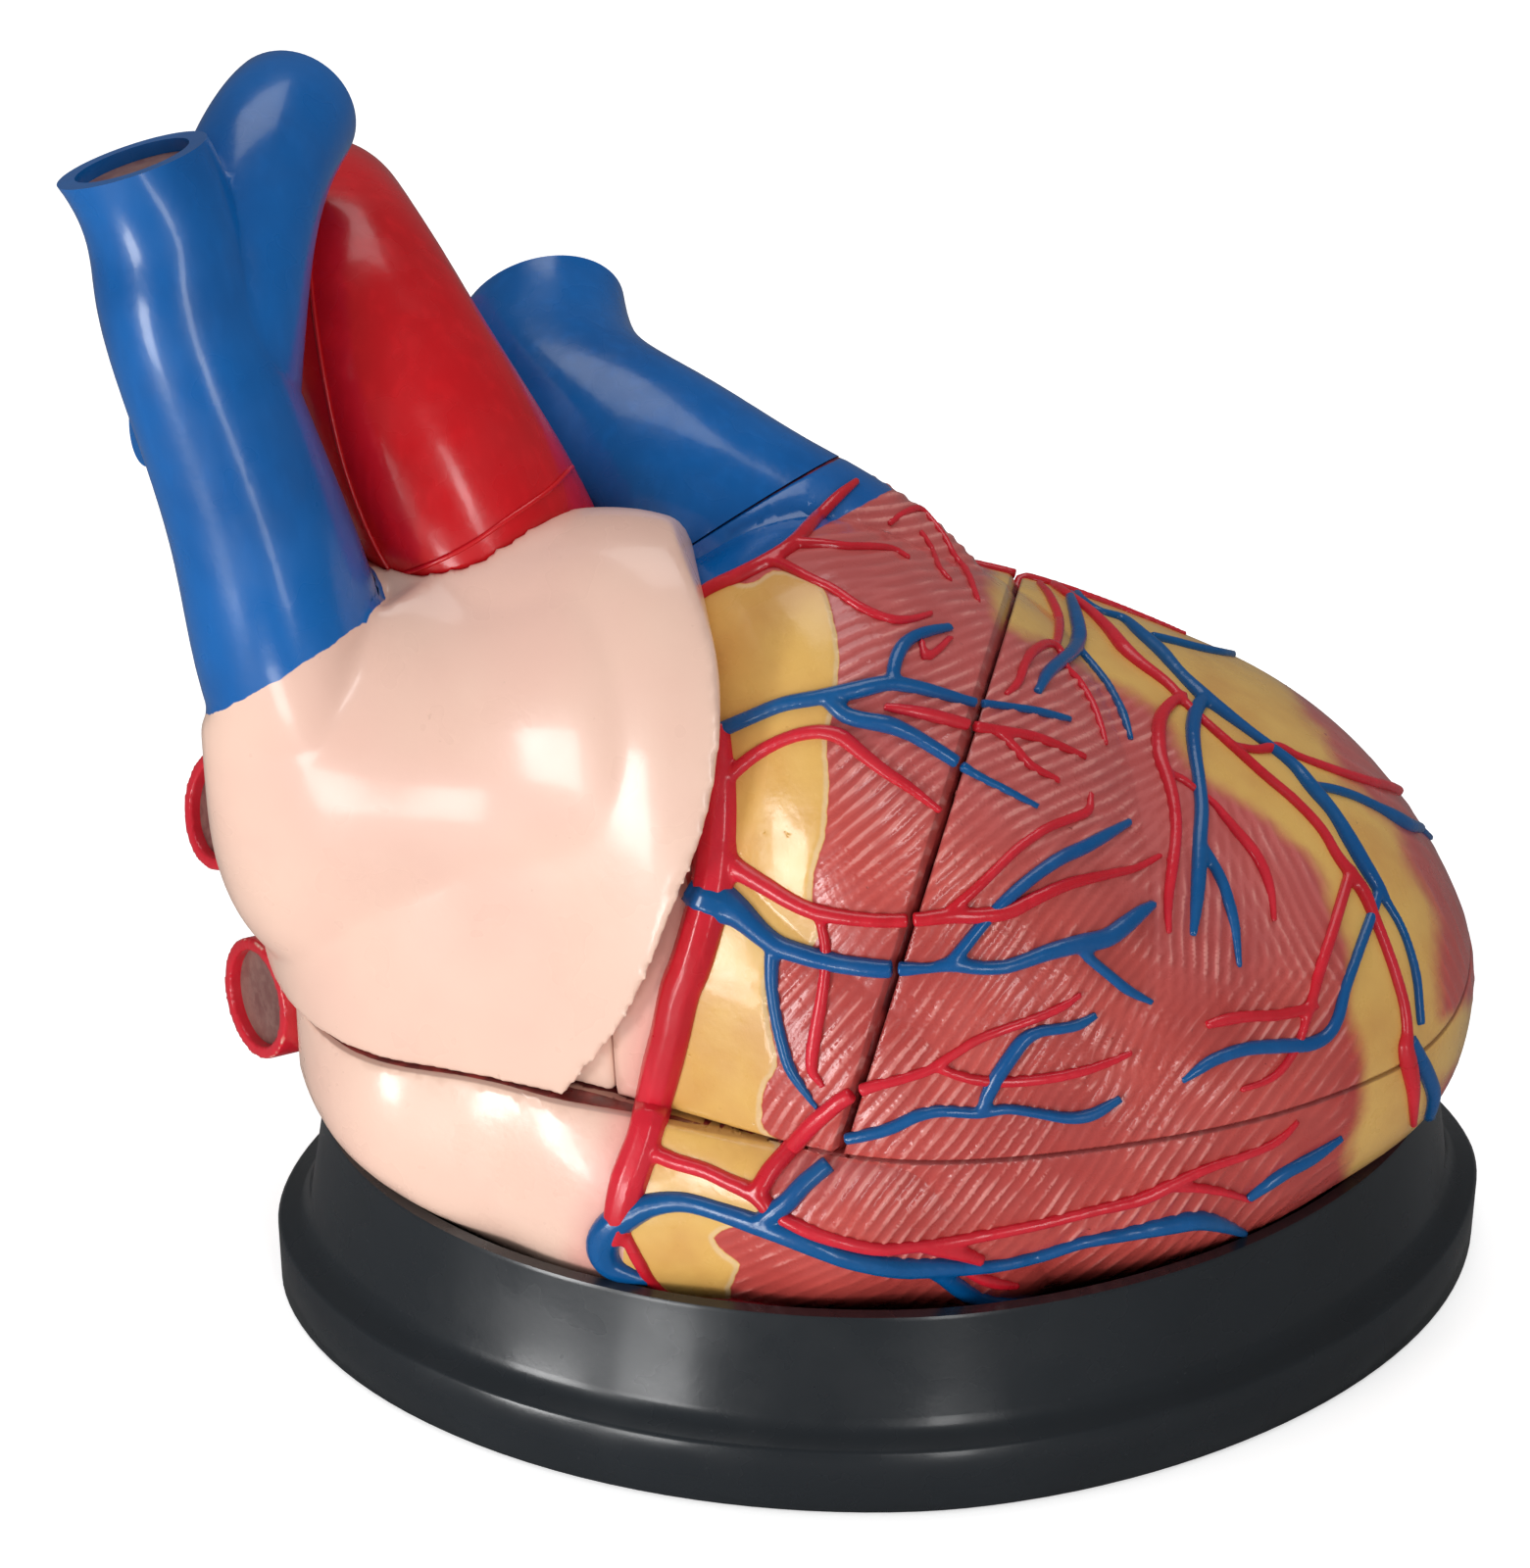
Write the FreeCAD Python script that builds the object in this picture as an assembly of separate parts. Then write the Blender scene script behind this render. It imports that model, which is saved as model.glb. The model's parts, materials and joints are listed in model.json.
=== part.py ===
import FreeCAD, Part
import math
import os
from FreeCAD import Vector

# Take-apart model of the human heart, about two and a half times life size, lying in an oval stand.
# Frame: origin at the centre of the stand's underside, +Z up, +X towards the apex of the heart,
# -Y towards the right side of the heart. Millimetres throughout.

# ---- stand ---------------------------------------------------------------------------------------
STAND_LENGTH = 300.0
STAND_WIDTH = 217.0
OVAL_POWER = 1.85          # 2 is an ellipse, less is more pointed
OVAL_POINTS = 40
STAND_HEIGHT = 49.5
FLANGE_HEIGHT = 18.0
FLANGE_EDGE = 0.9          # rounding of the flange's corners
LEDGE_WIDTH = 4.0          # flat ledge on top of the flange
COVE_WIDTH = 3.5           # cove between ledge and wall
COVE_HEIGHT = 5.0
RIM_LENGTH = 273.6
RIM_WIDTH = 199.0
SIDE_STEP_SHARE = 0.8      # the ledge and cove are narrower along the long sides by this share
STAND_WALL = 3.0
STAND_FLOOR = 3.0
FOOT_RADIUS = 9.0
FOOT_DEPTH = 1.6           # foot pads are let into the underside, flush with it
FOOT_INSET = 24.0
FOOT_ANGLE = 45.0
PAD_LENGTH = 44.0          # foam saddles between floor and heart
PAD_WIDTH = 26.0
PAD_SPREAD_X = 66.0
PAD_SPREAD_Y = 42.0
SEAT_GAP = 0.3             # between the heart and its saddles

# ---- heart body ----------------------------------------------------------------------------------
HEART_LENGTH = 300.0
HEART_FRONT = 95.0         # reach towards -Y
HEART_REAR = 97.0          # reach towards +Y
HEART_BOTTOM = 11.0        # lowest point over the floor
PARTING_HEIGHT = 88.0      # the flat joint between lower and upper pieces
SECTION_POWER = 2.15       # 2 is an ellipse, more is squarer
# Cross-sections along the heart: place along X, front, rear, top, bottom and the height of the
# widest line. X is a fraction of half the length, front and rear of their reaches, heights in mm.
SECTIONS = [
    (-1.030, 0.00, 0.34, 160.0, 118.0, 142.0),
    (-1.000, -0.14, 0.45, 168.0, 94.0, 136.0),
    (-0.940, 0.09, 0.64, 175.0, 64.0, 122.0),
    (-0.840, 0.29, 0.78, 180.0, 52.0, 108.0),
    (-0.700, 0.43, 0.86, 184.0, 43.5, 98.0),
    (-0.520, 0.58, 0.94, 186.0, 28.0, 92.0),
    (-0.320, 0.78, 0.99, 186.0, 16.0, 86.0),
    (-0.130, 0.95, 1.00, 183.0, 11.0, 81.0),
    (0.070, 1.00, 1.00, 178.0, 11.0, 78.0),
    (0.300, 0.97, 0.97, 167.0, 13.5, 78.0),
    (0.500, 0.90, 0.89, 154.0, 22.0, 78.0),
    (0.665, 0.79, 0.77, 141.0, 35.0, 78.0),
    (0.785, 0.66, 0.63, 126.0, 43.0, 78.0),
    (0.870, 0.48, 0.46, 110.0, 49.0, 78.0),
    (0.925, 0.28, 0.27, 95.0, 57.0, 77.0),
    (0.950, 0.10, 0.10, 83.0, 69.0, 76.0),
]
SECTION_POINTS = 24
SLIMMEST_SECTION = 8.0     # an inner copy of the body stops where it gets slimmer than this
HEART_LOWEST = min(section[4] for section in SECTIONS)
VENTRICLE_WALL = 13.0
LEFT_WALL_EXTRA = 9.0      # the left ventricle is thicker by this much
ATRIUM_WALL = 9.0
SEPTUM = 14.0
ATRIAL_SEPTUM = 9.0
VALVE_WALL = 10.0          # wall between atria and ventricles

# ---- parting planes ------------------------------------------------------------------------------
SEAM_GAP = 0.4             # fine joint between pieces
LID_GAP = 2.3              # the lid stands open by this much
LID_POINT = Vector(-24.0, -91.0, 88.0)
LID_NORMAL = Vector(0.927, -0.291, -0.236)
VALVE_POINT = Vector(-72.0, -64.0, 88.0)
VALVE_NORMAL = Vector(0.915, -0.398, 0.062)
TRUNK_POINT = Vector(-29.0, 5.0, 204.0)        # the pulmonary trunk has its own slanting cut
TRUNK_NORMAL = Vector(-0.457, 0.481, 0.748)
TRUNK_GAP_WIDE = 1.6       # the cut stands open at its top
TRUNK_GAP_NARROW = 0.5
TRUNK_GAP_REACH = 32.0     # along X, from the wide end to the narrow end
SEPTUM_POINT = Vector(-40.0, 14.0, 62.0)
SEPTUM_NORMAL = Vector(0.309, 0.927, -0.211)
ATRIAL_SEPTUM_NORMAL = Vector(0.12, 0.99, 0.0)

# ---- great vessels: points on the axis and outer radii -------------------------------------------
VESSEL_WALL = 4.0
SVC_PATH = [(-106, 22, 118), (-118, 2, 140), (-132, -14.5, 165), (-138, -15, 187), (-143, -13, 212), (-151, -10, 242),
            (-158, -6, 271), (-165, -2, 296)]
SVC_RADII = [20.0, 22.0, 23.0, 22.0, 20.0, 18.5, 17.5, 16.8]
CAVA_FOOT_POINT = Vector(-134.0, -14.0, 182.0)   # the vein's blue paint ends here
CAVA_FOOT_NORMAL = Vector(-0.50, 0.35, 0.80)
BRACHIOCEPHALIC_PATH = [(-147, -9, 228), (-148, -5, 248), (-145, 2, 268), (-140, 14, 283), (-134, 27, 290),
                        (-131, 36, 290.5)]
BRACHIOCEPHALIC_RADII = [15.0, 16.5, 16.5, 16.0, 15.5, 15.0]
AORTA_PATH = [(-8, 44, 98), (-28, 30, 110), (-46, 20, 128), (-64, 14, 150), (-80, 11, 172), (-91.5, 10, 194),
              (-104, 15, 218), (-116, 27, 240), (-125, 50, 252), (-126, 75, 246), (-121, 93, 224), (-115, 100, 196)]
AORTA_RADII = [19.0, 19.5, 20.0, 21.0, 23.0, 25.5, 25.5, 24.0, 22.5, 21.0, 20.0, 19.0]
ARCH_BRANCHES = [((-134, 44, 256), (-148, 46, 276), 8.5), ((-129, 60, 256), (-136, 62, 278), 6.5),
                 ((-124, 76, 250), (-127, 84, 271), 7.0)]
PULMONARY_PATH = [(26, -8, 138), (10, 6, 161), (-8, 15, 177), (-30, 25, 187), (-52, 38, 197), (-69, 56, 206),
                  (-74, 84, 218)]
PULMONARY_RADII = [21.0, 22.5, 24.0, 25.3, 26.0, 24.0, 20.5]
RIGHT_PULMONARY_PATH = [(-72, 58, 205), (-100, 60, 206), (-132, 52, 208), (-168, 37, 217)]
RIGHT_PULMONARY_RADII = [16.0, 14.0, 12.5, 10.5]
VEIN_RADIUS = 15.0
VEIN_WALL = 3.0
UPPER_VEINS = [((-120, 72, 90), (-159.5, 50, 105.5)), ((-74, 70, 118), (-86, 112, 122))]
LOWER_VEINS = [((-116, 36, 66), (-152.5, 16, 71.5)), ((-60, 70, 66), (-70, 110, 68))]
LOWER_CAVA_PLACE = (-86.0, 2.0)
LOWER_CAVA_RADIUS = 16.0
LOWER_CAVA_CLEAR = 7.0     # the stub ends this high over the stand's floor
DISC_RECESS = 3.0
DISC_THICKNESS = 2.0

# ---- right auricle, valves, locating features ----------------------------------------------------
AURICLE_GAP = 0.3          # between the lobe and the pieces that it lies on
AURICLE_REAR = 60.0
AURICLE_SLOPE_POINT = Vector(-100.0, 22.0, 200.0)   # the lobe thins out towards +Y along this plane
AURICLE_SLOPE_NORMAL = Vector(0.0, 0.6, 0.8)
# Cross-sections of the lobe: place along X, front, rear, top, bottom, height of the widest line.
AURICLE_SECTIONS = [
    (-153.0, -4.0, 34.0, 176.0, 112.0, 146.0),
    (-148.5, -13.0, 40.0, 181.0, 90.0, 138.0),
    (-140.0, -26.0, 46.0, 188.0, 62.0, 120.0),
    (-125.0, -39.0, 48.0, 196.0, 52.0, 100.0),
    (-104.0, -48.0, 44.0, 204.0, 50.0, 86.0),
    (-80.0, -61.0, 38.0, 210.0, 50.0, 84.0),
    (-58.0, -75.0, 34.0, 213.0, 50.0, 84.0),
    (-40.0, -84.0, 32.0, 208.0, 50.0, 84.0),
]
# The wall of the atrium runs on full and smooth from the foot of the superior vena cava; same columns.
SHOULDER_SECTIONS = [
    (-159.0, -17.0, 16.0, 176.0, 142.0, 159.0),
    (-142.0, -36.5, 28.5, 209.0, 97.0, 155.0),
    (-122.0, -41.3, 30.0, 204.0, 92.0, 150.0),
    (-102.0, -45.3, 30.0, 200.0, 92.0, 150.0),
    (-80.0, -55.0, 26.0, 206.0, 92.0, 146.0),
    (-58.0, -60.5, 21.0, 197.0, 92.0, 143.5),
]
# Free edge of the lobe over the ventricle, in X and Z.
AURICLE_EDGE = [(-64, 226), (-51, 210), (-45.5, 194), (-46.5, 177), (-51, 159), (-58, 141), (-68, 114), (-77, 97),
                (-88, 78)]
# The outflow part of the right ventricle rises to the pulmonary root; same columns.
CONUS_SECTIONS = [
    (-50.0, -60.0, 40.0, 190.0, 70.0, 100.0),
    (-32.0, -76.0, 50.0, 201.0, 70.0, 98.0),
    (-14.0, -86.0, 58.0, 202.5, 70.0, 96.0),
    (4.0, -91.0, 62.0, 195.5, 70.0, 94.0),
    (22.0, -92.0, 66.0, 184.5, 70.0, 92.0),
    (38.0, -90.0, 68.0, 172.0, 70.0, 90.0),
    (56.0, -85.0, 70.0, 156.0, 70.0, 88.0),
]
# The right atrium bulges below the parting; same columns.
BELLY_SECTIONS = [
    (-142.0, -12.0, 44.0, 98.0, 60.0, 76.0),
    (-137.0, -29.0, 46.0, 104.0, 54.0, 70.0),
    (-125.0, -45.0, 44.0, 109.0, 46.0, 64.0),
    (-107.0, -54.0, 54.0, 118.0, 36.0, 56.0),
    (-88.0, -66.5, 66.0, 118.0, 26.0, 54.0),
    (-68.0, -78.0, 77.0, 114.0, 17.0, 56.0),
    (-36.0, -93.0, 91.0, 102.0, 13.5, 72.0),
    (-5.0, -96.0, 95.0, 116.0, 11.5, 74.0),
    (30.0, -91.0, 93.0, 120.0, 13.0, 76.0),
]

TRICUSPID_PLACE = (-24.0, 62.0)        # Y and Z of the valve's centre, in the valve plane
TRICUSPID_RADIUS = 17.0
MITRAL_PLACE = (44.0, 62.0)
MITRAL_RADIUS = 15.0
LEAFLET_LENGTH = 18.0
LEAFLET_THICKNESS = 1.4
LEAFLET_SLOT = 2.0
SLOT_TURN = 20.0           # angle of the first slot round the valve
FREE_EDGE = 0.55           # the skirt narrows to this share of its root
CUSP_LENGTH = 9.0
CUSP_THICKNESS = 1.2
CUSP_SLOT = 1.2
PULMONARY_CUSP_PLACE = (8, 6, 162)
AORTIC_CUSP_PLACE = (-59, 15.7, 144)   # behind the valve plane, so the cusps lift off with the aorta
PAPILLARY_RADIUS = 6.5
PAPILLARY_TIP = 3.0
# Foot and tip of each papillary muscle, right ventricle first.
RIGHT_PAPILLARIES = [((20, -54, 14), (-8, -38, 50)), ((30, -22, 10), (2, -20, 52))]
LEFT_PAPILLARIES = [((56, 18, 24), (22, 28, 56)), ((46, 64, 26), (18, 50, 56))]
CHORD_RADIUS = 0.7
CHORD_COUNT = 6
BAND_RADIUS = 3.5          # moderator band, a beam across the right ventricle
BAND_START = (58, 10, 112)
BAND_END = (68, -90, 106)
DOME_RADIUS = 4.0
DOME_HEIGHT = 2.5
DOME_CLEARANCE = 0.3
MAGNET_RADIUS = 3.0
MAGNET_THICKNESS = 3.0
DOWEL_RADIUS = 2.0
DOWEL_LENGTH = 16.0
DOWEL_CLEARANCE = 0.25
# Where domes, magnets and dowels stand in the wall: X, and -1 for the front wall or 1 for the rear.
LID_DOMES = [(84, -1), (40, 1)]
LID_MAGNETS = [(28, -1), (96, 1)]
OUTFLOW_DOMES = [(-34, -1)]
OUTFLOW_DOWELS = [(-47, -1), (14, 1)]
OUTFLOW_MAGNETS = [(-60, -1)]
ATRIUM_DOMES = [(-118, -1), (-96, 1)]
ATRIUM_MAGNETS = [(-92, -1), (-58, 1)]

VESSEL_MOUTHS = [(SVC_PATH, SVC_RADII), (BRACHIOCEPHALIC_PATH, BRACHIOCEPHALIC_RADII), (AORTA_PATH, AORTA_RADII),
                 (PULMONARY_PATH, PULMONARY_RADII), (RIGHT_PULMONARY_PATH, RIGHT_PULMONARY_RADII)]
BRANCH_WALL = 2.5

HUGE = 900.0              # half-spaces and cutters reach past everything
SMALLEST_SOLID = 20.0     # cutting scraps under this volume, in cubic mm, are dropped
LOFT_DEGREE = 5


def vec(point):
    return Vector(*point)


def unit(vector):
    result = Vector(vector)
    result.normalize()
    return result


# ---- shape helpers -------------------------------------------------------------------------------
def half_space(point, normal, offset=0.0):
    """Solid that fills everything on the side of a plane to which its normal points."""
    direction = unit(normal)
    box = Part.makeBox(HUGE, HUGE, HUGE, Vector(-HUGE / 2, -HUGE / 2, 0))
    box.Placement = FreeCAD.Placement(Vector(0, 0, 0), FreeCAD.Rotation(Vector(0, 0, 1), direction))
    box.translate(vec(point) + direction * offset)
    return box


def above(height):
    return half_space((0, 0, height), Vector(0, 0, 1))


def below(height):
    return half_space((0, 0, height), Vector(0, 0, -1))


def solids_of(shape):
    return [solid for solid in shape.Solids if solid.Volume > SMALLEST_SOLID]


def biggest(shape):
    return max(shape.Solids, key=lambda solid: solid.Volume)


def group(shapes):
    return Part.makeCompound([solid for shape in shapes for solid in solids_of(shape)])


def closed_curve(points):
    curve = Part.BSplineCurve()
    curve.interpolate(Points=points, PeriodicFlag=True)
    return Part.Wire([curve.toShape()])


def power(value, exponent):
    return math.copysign(abs(value) ** exponent, value)


def body_section(x, front, rear, top, bottom, widest):
    """Closed rounded cross-section, square to X."""
    middle = (front + rear) / 2
    reach = (rear - front) / 2
    rise = top - widest
    fall = widest - bottom
    points = []
    for step in range(SECTION_POINTS):
        angle = 2 * math.pi * step / SECTION_POINTS
        y = middle + reach * power(math.cos(angle), 2 / SECTION_POWER)
        sine = power(math.sin(angle), 2 / SECTION_POWER)
        z = widest + (rise if sine > 0 else fall) * sine
        points.append(Vector(x, y, z))
    return closed_curve(points)


def hull(grow=0.0):
    """The heart's outer body, or a larger or smaller copy of it."""
    half = HEART_LENGTH / 2
    wires = []
    for along, front, rear, top, bottom, widest in SECTIONS:
        x = along * (half + grow)
        low = HEART_BOTTOM - HEART_LOWEST + bottom
        y_front = -front * HEART_FRONT - grow
        y_rear = rear * HEART_REAR + grow
        slimmest = min(y_rear - y_front, top - low + 2 * grow, 2 * (top + grow - widest), 2 * (widest - low + grow))
        if slimmest < SLIMMEST_SECTION:
            continue
        wires.append(body_section(x, y_front, y_rear, top + grow, low - grow, widest))
    return Part.makeLoft(wires, True, False, False, LOFT_DEGREE)


def side_body(sections, grow=0.0):
    """A bulge that is fused to the hull, from its own list of cross-sections."""
    wires = []
    for x, front, rear, top, bottom, widest in sections:
        wires.append(body_section(x, front - grow, rear + grow, top + grow, bottom - grow, widest))
    return Part.makeLoft(wires, True, False, False, LOFT_DEGREE)


def lower_form(grow=0.0):
    return hull(grow).fuse(side_body(BELLY_SECTIONS, grow))


def auricle_lobe():
    """The right auricle's pillow, ended by its free edge over the ventricle."""
    above_foot = half_space(CAVA_FOOT_POINT, CAVA_FOOT_NORMAL)
    lobe = side_body(AURICLE_SECTIONS).fuse(side_body(SHOULDER_SECTIONS).cut(above_foot))
    front = -2 * HEART_FRONT
    edge = Part.BSplineCurve()
    edge.interpolate([Vector(x, front, z) for x, z in AURICLE_EDGE])
    first = Vector(AURICLE_EDGE[0][0], front, AURICLE_EDGE[0][1])
    last = Vector(AURICLE_EDGE[-1][0], front, AURICLE_EDGE[-1][1])
    far_top = Vector(-HEART_LENGTH, front, first.z)
    far_low = Vector(-HEART_LENGTH, front, last.z)
    sides = [Part.makeLine(last, far_low), Part.makeLine(far_low, far_top), Part.makeLine(far_top, first)]
    outline = Part.Wire([edge.toShape()] + sides)
    prism = Part.Face(outline).extrude(Vector(0, AURICLE_REAR - front, 0))
    return lobe.common(prism).cut(half_space(AURICLE_SLOPE_POINT, AURICLE_SLOPE_NORMAL))


def tube(path, radii, grow=0.0):
    """Solid of round sections along a path, each square to the path."""
    places = [vec(point) for point in path]
    wires = []
    for index, place in enumerate(places):
        before = places[max(index - 1, 0)]
        after = places[min(index + 1, len(places) - 1)]
        direction = unit(after - before)
        wires.append(Part.Wire([Part.makeCircle(radii[index] + grow, place, direction)]))
    return Part.makeLoft(wires, True, False, False, LOFT_DEGREE)


def rod(start, end, radius, end_radius=None):
    direction = vec(end) - vec(start)
    if end_radius is None or abs(end_radius - radius) < 1e-6:
        return Part.makeCylinder(radius, direction.Length, vec(start), direction)
    return Part.makeCone(radius, end_radius, direction.Length, vec(start), direction)


def mouth_disc(mouth, direction, radius):
    """Disc that closes a lumen a little below its mouth."""
    start = mouth - direction * (DISC_RECESS + DISC_THICKNESS)
    return Part.makeCylinder(radius, DISC_THICKNESS, start, direction)


def path_mouth(path, radii):
    """Mouth, outward direction and lumen radius at the end of a vessel."""
    mouth = vec(path[-1])
    return mouth, unit(mouth - vec(path[-2])), radii[-1] - VESSEL_WALL


def oval_wire(length, width, height):
    """Slightly pointed oval of the stand at one height."""
    points = []
    for step in range(OVAL_POINTS):
        angle = 2 * math.pi * step / OVAL_POINTS
        along = abs(math.cos(angle) / (length / 2)) ** OVAL_POWER
        across = abs(math.sin(angle) / (width / 2)) ** OVAL_POWER
        reach = (along + across) ** (-1 / OVAL_POWER)
        points.append(Vector(reach * math.cos(angle), reach * math.sin(angle), height))
    return closed_curve(points)


def skirt(centre, direction, radius, length, thickness, slot, count):
    """Cone-shaped ring of valve leaflets, parted by radial slots."""
    direction = unit(direction)
    free = radius * FREE_EDGE
    outer = Part.makeCone(radius, free + thickness, length, centre, direction)
    inner = Part.makeCone(radius - thickness, free, length, centre, direction)
    ring = outer.cut(inner)
    frame = FreeCAD.Placement(centre, FreeCAD.Rotation(Vector(0, 0, 1), direction))
    for index in range(count):
        blade = Part.makeBox(radius * 2, slot, length * 3, Vector(0, -slot / 2, -length))
        blade.rotate(Vector(0, 0, 0), Vector(0, 0, 1), 360.0 * index / count + SLOT_TURN)
        blade.Placement = frame.multiply(blade.Placement)
        ring = ring.cut(blade)
    return ring


def on_valve_plane(place):
    """Point of the plane between atria and ventricles with this Y and Z."""
    y, z = place
    slope_y = VALVE_NORMAL.y * (y - VALVE_POINT.y)
    slope_z = VALVE_NORMAL.z * (z - VALVE_POINT.z)
    return Vector(VALVE_POINT.x - (slope_y + slope_z) / VALVE_NORMAL.x, y, z)


def wall_place(middle_body, x, side):
    """Point of the parting face that lies in the middle of the heart's wall."""
    start = Vector(x, side * 2 * HEART_REAR, PARTING_HEIGHT)
    line = Part.makeLine(start, Vector(x, 0, PARTING_HEIGHT))
    inside = line.common(middle_body)
    reach = max(side * vertex.Point.y for vertex in inside.Vertexes)
    return Vector(x, side * reach, PARTING_HEIGHT)


# ---- stand ---------------------------------------------------------------------------------------
def stand_outline(inset):
    """Half-open list of (length, width, height) rings, from the underside up to the rim."""
    foot_inset = 2 * (LEDGE_WIDTH + FLANGE_EDGE)
    wall_inset = foot_inset + 2 * COVE_WIDTH
    top = FLANGE_HEIGHT
    edge = FLANGE_EDGE
    rings = [
        (STAND_LENGTH - 2 * edge, STAND_WIDTH - 2 * edge, 0.0),
        (STAND_LENGTH, STAND_WIDTH, edge),
        (STAND_LENGTH, STAND_WIDTH, top - edge),
        (STAND_LENGTH - 2 * edge, STAND_WIDTH - 2 * edge, top),
        (STAND_LENGTH - foot_inset, STAND_WIDTH - foot_inset * SIDE_STEP_SHARE, top + edge),
        (STAND_LENGTH - wall_inset, STAND_WIDTH - wall_inset * SIDE_STEP_SHARE, top + COVE_HEIGHT),
        (RIM_LENGTH + edge, RIM_WIDTH + edge, STAND_HEIGHT - edge),
        (RIM_LENGTH, RIM_WIDTH, STAND_HEIGHT),
    ]
    return [(length - 2 * inset, width - 2 * inset, height) for length, width, height in rings]


def make_stand():
    outer = Part.makeLoft([oval_wire(*ring) for ring in stand_outline(0.0)], True, True)
    inner_rings = stand_outline(STAND_WALL)[1:]
    first = inner_rings[0]
    inner_rings[0] = (first[0], first[1], STAND_FLOOR)
    last = inner_rings[-1]
    inner_rings.append((last[0], last[1], STAND_HEIGHT + 5.0))
    hollow = Part.makeLoft([oval_wire(*ring) for ring in inner_rings], True, True)
    body = outer.cut(hollow)
    for foot in feet():
        body = body.cut(foot)
    return body


def feet():
    angle = math.radians(FOOT_ANGLE)
    reach_x = (STAND_LENGTH / 2 - FOOT_INSET) * math.cos(angle)
    reach_y = (STAND_WIDTH / 2 - FOOT_INSET) * math.sin(angle)
    pads = []
    for side_x in (-1, 1):
        for side_y in (-1, 1):
            pads.append(Part.makeCylinder(FOOT_RADIUS, FOOT_DEPTH, Vector(side_x * reach_x, side_y * reach_y, 0)))
    return pads


def make_saddles():
    seat = lower_form(SEAT_GAP)
    pads = []
    for side_x in (-1, 1):
        for side_y in (-1, 1):
            corner = Vector(side_x * PAD_SPREAD_X - PAD_LENGTH / 2, side_y * PAD_SPREAD_Y - PAD_WIDTH / 2, STAND_FLOOR)
            block = Part.makeBox(PAD_LENGTH, PAD_WIDTH, PARTING_HEIGHT - STAND_FLOOR, corner)
            pads.append(biggest(block.cut(seat)))
    return Part.makeCompound(pads)


# ---- heart ---------------------------------------------------------------------------------------
def regions():
    """Half-spaces and their combinations that part the heart into its pieces."""
    seam = SEAM_GAP / 2
    tilt = Vector((TRUNK_GAP_WIDE - TRUNK_GAP_NARROW) / TRUNK_GAP_REACH, 0, 0)
    middle_gap = (TRUNK_GAP_WIDE + TRUNK_GAP_NARROW) / 2
    trunk_wedge = half_space(TRUNK_POINT, unit(TRUNK_NORMAL) - tilt, middle_gap)
    trunk_far = half_space(TRUNK_POINT, TRUNK_NORMAL, TRUNK_GAP_NARROW).common(trunk_wedge)
    vessel_side = half_space(VALVE_POINT, VALVE_NORMAL * -1, seam)
    not_outflow = half_space(VALVE_POINT, VALVE_NORMAL * -1, -seam).fuse(half_space(TRUNK_POINT, TRUNK_NORMAL))
    upper = above(PARTING_HEIGHT + seam)
    return {
        "lower": below(PARTING_HEIGHT - seam),
        "upper": upper,
        "lid": half_space(LID_POINT, LID_NORMAL, LID_GAP / 2).common(upper),
        "outflow": half_space(LID_POINT, LID_NORMAL * -1, LID_GAP / 2).common(upper).cut(not_outflow),
        "vessels": vessel_side.fuse(trunk_far).common(upper),
    }


def chambers(outer):
    """The four hollows of the heart."""
    ventricle_side = half_space(VALVE_POINT, VALVE_NORMAL, VALVE_WALL / 2)
    atrium_side = half_space(VALVE_POINT, VALVE_NORMAL * -1, VALVE_WALL / 2)
    right_half = half_space(SEPTUM_POINT, SEPTUM_NORMAL * -1, SEPTUM / 2)
    left_half = half_space(SEPTUM_POINT, SEPTUM_NORMAL, SEPTUM / 2)
    right_atrial = half_space(SEPTUM_POINT, ATRIAL_SEPTUM_NORMAL * -1, ATRIAL_SEPTUM / 2)
    left_atrial = half_space(SEPTUM_POINT, ATRIAL_SEPTUM_NORMAL, ATRIAL_SEPTUM / 2)
    thin = hull(-VENTRICLE_WALL).common(ventricle_side)
    thick = hull(-VENTRICLE_WALL - LEFT_WALL_EXTRA).common(ventricle_side)
    atrial = hull(-ATRIUM_WALL).common(atrium_side)
    rooms = [
        thin.common(right_half).cut(outer["aorta"]),
        thick.common(left_half).cut(outer["pulmonary"]),
        atrial.common(right_atrial),
        atrial.common(left_atrial),
    ]
    return [biggest(room) for room in rooms]


def great_vessels():
    """Outer and inner solid of each great vessel, before they are trimmed."""
    def both(path, radii):
        return tube(path, radii), tube(path, radii, -VESSEL_WALL)

    cava = tube(SVC_PATH, SVC_RADII)
    cava_lumen = tube(SVC_PATH[1:], SVC_RADII[1:], -VESSEL_WALL)
    branch, branch_lumen = both(BRACHIOCEPHALIC_PATH, BRACHIOCEPHALIC_RADII)
    trunk, trunk_lumen = both(PULMONARY_PATH, PULMONARY_RADII)
    right, right_lumen = both(RIGHT_PULMONARY_PATH, RIGHT_PULMONARY_RADII)
    aorta, aorta_lumen = both(AORTA_PATH, AORTA_RADII)
    outer = {"cava": cava.fuse(branch), "pulmonary": trunk.fuse(right), "aorta": aorta}
    inner = {"cava": cava_lumen.fuse(branch_lumen), "pulmonary": trunk_lumen.fuse(right_lumen), "aorta": aorta_lumen}
    return outer, inner


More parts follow.
